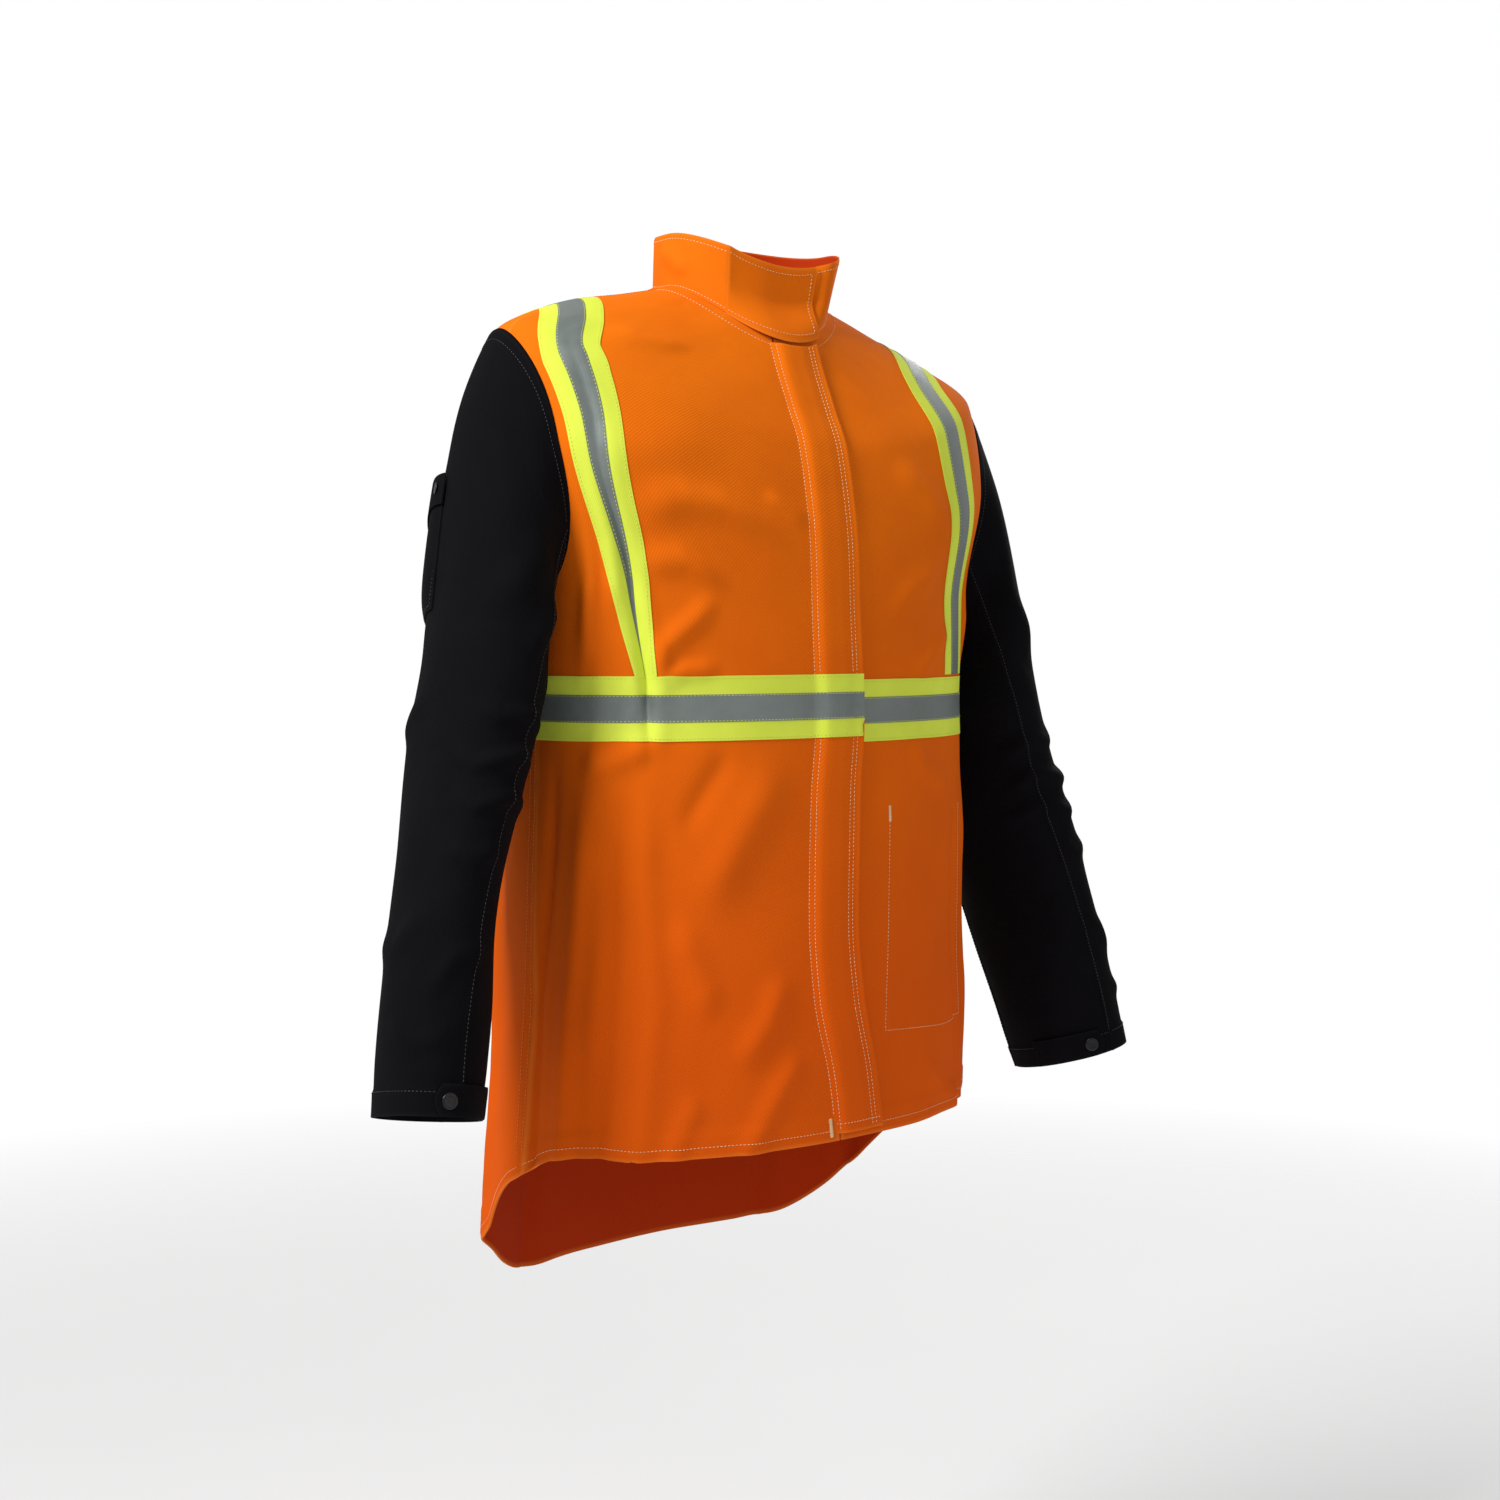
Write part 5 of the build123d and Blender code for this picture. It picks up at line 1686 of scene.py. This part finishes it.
@dataclass
class Stitching:
    """Every visible row of thread."""

    tapes: Tapes
    collar: Collar
    sleeves: dict[str, Sleeve]

    def __post_init__(self) -> None:
        """One low stitch shape serves every row."""
        ball = [(math.sin(a), -math.cos(a)) for a in np.linspace(0, math.pi, 5)]
        self.shape = lathe_shape("stitch_shape", [(max(r, 0.0), z) for r, z in ball], 6)

    def build(self) -> None:
        """Sews the body, the flap, the collar, the tapes and the sleeves."""
        self._body()
        self._flap()
        self._collar()
        self._tapes()
        for sleeve in self.sleeves.values():
            self._sleeve(sleeve)

    @staticmethod
    def _line(*points: tuple[float, float]) -> Path:
        """A path of straight runs between (angle, level) points."""
        table = np.array(points, float)
        scaled = table * (BODY.per_degree, BODY.per_level)
        gone = np.concatenate([[0], np.cumsum(np.linalg.norm(np.diff(scaled, axis=0),
                                                             axis=1))])

        def path(t: Array) -> tuple[Array, Array]:
            """The angle and level at a share of the path."""
            return tuple(np.interp(t * gone[-1], gone, table[:, c]) for c in (0, 1))
        return path

    def _hem(self, start: float, end: float) -> Path:
        """A row that keeps a steady distance above the hem."""
        above = 9

        def path(t: Array) -> tuple[Array, Array]:
            """The angle and level at a share of the hem."""
            angle = start + (end - start) * t
            drop = BODY.waist_height - BODY.hem_height(angle)
            return angle, 1 - above / drop * (1 - BODY.waist)
        return path

    def _body(self) -> None:
        """Hem, neck seam, shoulder and side seams, pocket and bartacks."""
        edge_right = float(flap_angle(np.array(0.988), np.array(-FLAP_HALF)))
        edge_left = float(flap_angle(np.array(0.988), np.array(FLAP_HALF + 1.5)))
        cream = [
            Row(BODY, self._hem(edge_left, edge_right + 360), 2.15),
            Row(BODY, self._line((-SIDE_SEAM, 0.016), (0, 0.016), (SIDE_SEAM, 0.016)), 1.35),
            Row(BODY, self._line((SIDE_SEAM, 0.016), (180, 0.016), (360 - SIDE_SEAM, 0.016)),
                1.35),
            Row(BODY, self._line((12, 0.642), (10, 0.888), (33, 0.897), (52, 0.897),
                                 (52, 0.642)), 1.3),
        ]
        Sewing("thread_cream_body", CREAM, self.shape).build(cream, "root")
        rust = []
        for sign in (1, -1):
            for gap in (1.0, 3.0):
                seam = SIDE_SEAM + gap if sign > 0 else 360 - SIDE_SEAM - gap
                rust.append(Row(BODY, self._line((seam, 0.02), (seam, 0.125)), 1.95))
                rust.append(Row(BODY, self._line((seam, 0.43), (seam, 0.975)), 1.95))
        Sewing("thread_orange_body", RUST_THREAD, self.shape).build(rust, "root")
        tack = float(flap_angle(np.array(0.985), np.array(-31.0)))
        bars = [Row(BODY, self._line((tack, 0.974), (tack + 0.4, 0.995)), 2.2, 0.7, turned=True),
                Row(BODY, self._line((12, 0.634), (12, 0.652)), 1.4, 0.7, turned=True)]
        Sewing("thread_bartacks", CREAM, self.shape, 0.45, 4.5).build(bars, "root",
                                                                     ("bartacks",))

    def _flap(self) -> None:
        """Double rows beside the hinge and beside the free edge, and the flap's hem."""
        rows = []
        for offset in FLAP_ROWS:
            def path(t: Array, offset: float = offset) -> tuple[Array, Array]:
                """Down the flap at one distance from its middle."""
                level = 0.014 + 0.974 * t
                return flap_angle(level, np.full(t.shape, offset)), level

            def lift(angle: Array, level: Array) -> Array:
                """On the flap's own outer face, above the tape where it crosses."""
                height = BODY.bare(angle, level)[..., 2]
                on_tape = np.abs(height - WAIST) < TAPE_WIDTH / 2
                return flap_top(flap_offset(angle, level)) + np.where(on_tape, -0.5, 0.15)
            rows.append(Row(BODY, path, lift))

        def hem(t: Array) -> tuple[Array, Array]:
            """Across the flap's foot."""
            return flap_angle(np.full(t.shape, 0.981), -24 + 49 * t), np.full(t.shape, 0.981)
        rows.append(Row(BODY, hem, lambda a, v: flap_top(flap_offset(a, v)) + 0.15))
        Sewing("thread_cream_flap", CREAM, self.shape).build(rows, FLAP_HINGE)

    def _collar(self) -> None:
        """Rows inside the collar's edges."""
        def low_row(start: float, end: float, level: float) -> Path:
            """A level row round the collar."""
            return lambda t: (start + (end - start) * t, np.full(t.shape, level))
        band = [Row(COLLAR, low_row(26, 360 + self.collar.crease - 1, 0.90), 2.25),
                Row(COLLAR, low_row(26, 360 + self.collar.crease - 1, 0.07), 2.3)]
        Sewing("thread_cream_collar", CREAM, self.shape).build(band, "root")

        def lift(angle: Array, level: Array) -> Array:
            """On the tab's own outer face."""
            return self.collar.rise(angle) + 2.3
        end = self.collar.tab_end
        tab = [Row(COLLAR, low_row(self.collar.crease, end - 4.5, 0.90), lift),
               Row(COLLAR, low_row(self.collar.crease, end - 4.5, 0.07), lift),
               Row(COLLAR, lambda t: (np.full(t.shape, end - 4.5), 0.07 + 0.83 * t), lift)]
        Sewing("thread_cream_tab", CREAM, self.shape).build(tab, self.collar.hinge())

    def _tapes(self) -> None:
        """Lime thread along every tape and every stripe."""
        rows, front = [], []
        for half, lift in ((TAPE_WIDTH / 2 - 2, 0.8), (STRIPE_WIDTH / 2 - 1, 1.15)):
            for sign in (-1, 1):
                def level_row(angles: tuple[float, float], height: float,
                              reach: float = sign * half) -> Path:
                    """A row along a level tape."""
                    def path(t: Array) -> tuple[Array, Array]:
                        """The angle and level at a share of the tape."""
                        angle = angles[0] + (angles[1] - angles[0]) * t
                        return angle, BODY.level_at(angle, np.full(t.shape, height + reach))
                    return path
                edge = float(flap_angle(np.array(0.52), np.array(FLAP_HALF - 1.5)))
                front.append(Row(BODY, level_row((-SIDE_SEAM, edge), WAIST),
                                 lambda a, v, lift=lift: front_top(a, v) + lift))
                rows.append(Row(BODY, level_row((edge + 1, 58), WAIST - 5), CLOTH + lift))
                rows.append(Row(BODY, level_row((SIDE_SEAM, 360 - SIDE_SEAM), WAIST),
                                CLOTH + lift))
        for side in SIGN:
            for kind, inset, lift in (("tape", 2.0, 0.8), ("stripe", 1.0, 1.15)):
                for edge in (0.0, 1.0):
                    place = self.tapes.strap_place(side, kind)

                    def path(t: Array, place: Place = place, edge: float = edge,
                             inset: float = inset, side: str = side, kind: str = kind
                             ) -> tuple[Array, Array]:
                        """Along the tape, just inside one edge."""
                        start = 0.10 if side == "right" and kind == "stripe" else 0.003
                        along = start + (0.997 - start) * t
                        half = self.tapes.half_width(side, kind, along)
                        share = np.clip(inset / (2 * half), 0, 0.45)
                        return place(np.abs(edge - share), along)
                    rows.append(Row(BODY, path, CLOTH + lift))
        Sewing("thread_lime_body", LIME_THREAD, self.shape, 0.32, 2.2).build(rows, "root")
        Sewing("thread_lime_front", LIME_THREAD, self.shape, 0.32, 2.2).build(front,
                                                                             FLAP_HINGE)

    def _sleeve(self, sleeve: Sleeve) -> None:
        """Seams, armhole, cuff and pen pocket."""
        rule = sleeve.rule

        def down(angle: float) -> Path:
            """A row down the sleeve."""
            return lambda t: (np.full(t.shape, angle), 0.01 + 0.985 * t)

        def around(level: float) -> Path:
            """A row round the sleeve."""
            return lambda t: (360 * t, np.full(t.shape, level))
        rows = [Row(rule, down(sleeve.under[0] - 2.2), 2.35),
                Row(rule, down(sleeve.under[1] - 360 + 2.2), 2.35),
                Row(rule, around(0.013), 1.5), Row(rule, around(0.968), 2.7)]
        if sleeve.side == "right":
            (a0, a1), (v0, v1) = sleeve.pocket_angles, sleeve.pocket_levels
            line = self._line((a0 + 2, v0 + 0.02), (a0 + 2, v1 - 0.004), (a1 - 2, v1 - 0.004),
                              (a1 - 2, v0 + 0.02))
            rows.append(Row(rule, line, 4.0))
        Sewing(f"thread_black_{sleeve.side}", BLACK_THREAD, self.shape).build(rows,
                                                                             sleeve.hinge)


# ------------------------------------------------------------------ the studio
@dataclass(frozen=True)
class Studio:
    """A pale floor, soft light and the camera."""

    eye: tuple[float, float, float] = (-1.175, -1.493, -0.302)
    heading: float = 38.5
    lens: float = 50.0
    shift_y: float = -0.08
    floor: float = -1.45
    floor_reach: float = 6.0
    fade: tuple[float, float] = (1.7, 3.6)
    room: float = 0.42

    def camera(self) -> None:
        """Looks level along its heading."""
        data = bpy.data.cameras.new("camera")
        data.lens, data.sensor_width, data.shift_y = self.lens, 36.0, self.shift_y
        data.clip_end = 100.0
        obj = bpy.data.objects.new("camera", data)
        obj.location = self.eye
        obj.rotation_euler = (math.radians(90), 0, math.radians(-self.heading))
        bpy.context.scene.collection.objects.link(obj)
        bpy.context.scene.camera = obj

    def light(self) -> None:
        """A large key from the upper left, a fill and a bright room."""
        turn = math.radians(self.heading)
        ahead, aside = Vector((math.sin(turn), math.cos(turn), 0)), Vector(
            (math.cos(turn), -math.sin(turn), 0))
        aim = Vector((0, 0, -0.35))
        for name, side, back, up, size, power in (
                ("key", -1.5, -1.5, 1.7, 0.9, 74.0), ("fill", 2.2, -1.6, 0.4, 2.0, 7.0),
                ("rim", 1.2, 2.0, 1.2, 1.4, 22.0)):
            data = bpy.data.lights.new(name, "AREA")
            data.shape, data.size, data.energy = "SQUARE", size, power
            obj = bpy.data.objects.new(name, data)
            obj.location = aim + aside * side + ahead * back + Vector((0, 0, up))
            obj.rotation_euler = (aim - obj.location).to_track_quat("-Z", "Y").to_euler()
            bpy.context.scene.collection.objects.link(obj)
        world = bpy.data.worlds.new("room")
        world.use_nodes = True
        n = Nodes(world.node_tree)
        background = world.node_tree.nodes["Background"]
        background.inputs["Color"].default_value = (1, 1, 1, 1)
        seen = n.add("ShaderNodeLightPath").outputs["Is Camera Ray"]
        world.node_tree.links.new(n.span(seen, 0, 1, self.room, 1.0),
                                  background.inputs["Strength"])
        bpy.context.scene.world = world
        bpy.context.scene.view_settings.view_transform = "Standard"

    def ground(self) -> None:
        """A wide pale floor."""
        around = 96
        reach = self.floor_reach / MM
        points = [(reach * math.cos(2 * math.pi * k / around),
                   reach * math.sin(2 * math.pi * k / around), self.floor / MM)
                  for k in range(around)]
        floor = new_object("floor", np.array(points), [tuple(range(around))])
        material = bpy.data.materials.new("pale_floor")
        material.use_nodes = True
        n = Nodes(material.node_tree)
        shader = material.node_tree.nodes["Principled BSDF"]
        speck = n.add("ShaderNodeTexNoise",
                      {"Vector": n.add("ShaderNodeTexCoord").outputs["Object"], "Scale": 3.0})
        tone = n.mix(speck.outputs["Fac"], (0.90, 0.90, 0.90, 1), (0.93, 0.93, 0.93, 1))
        material.node_tree.links.new(tone, shader.inputs["Base Color"])
        shader.inputs["Roughness"].default_value = 0.9
        away = n.add("ShaderNodeVectorMath", {0: n.add("ShaderNodeTexCoord").outputs[
            "Object"]}, operation="LENGTH").outputs["Value"]
        n.tree.links.new(n.span(away, *self.fade, 1.0, 0.0), shader.inputs["Alpha"])
        floor.data.materials.append(material)


def main() -> None:
    """Builds the studio and then the jacket, sub-assembly by sub-assembly."""
    logging.basicConfig(level=logging.INFO, format="%(message)s")
    studio = Studio()
    studio.camera()
    studio.light()
    studio.ground()
    collar, tapes = Collar(), Tapes()
    sleeves = {side: Sleeve(side) for side in SIGN}
    Body().build()
    StormFlap().build()
    collar.build()
    tapes.build()
    for sleeve in sleeves.values():
        sleeve.build()
    Fastenings().build(sleeves)
    Stitching(tapes, collar, sleeves).build()


if __name__ == "__main__":
    main()
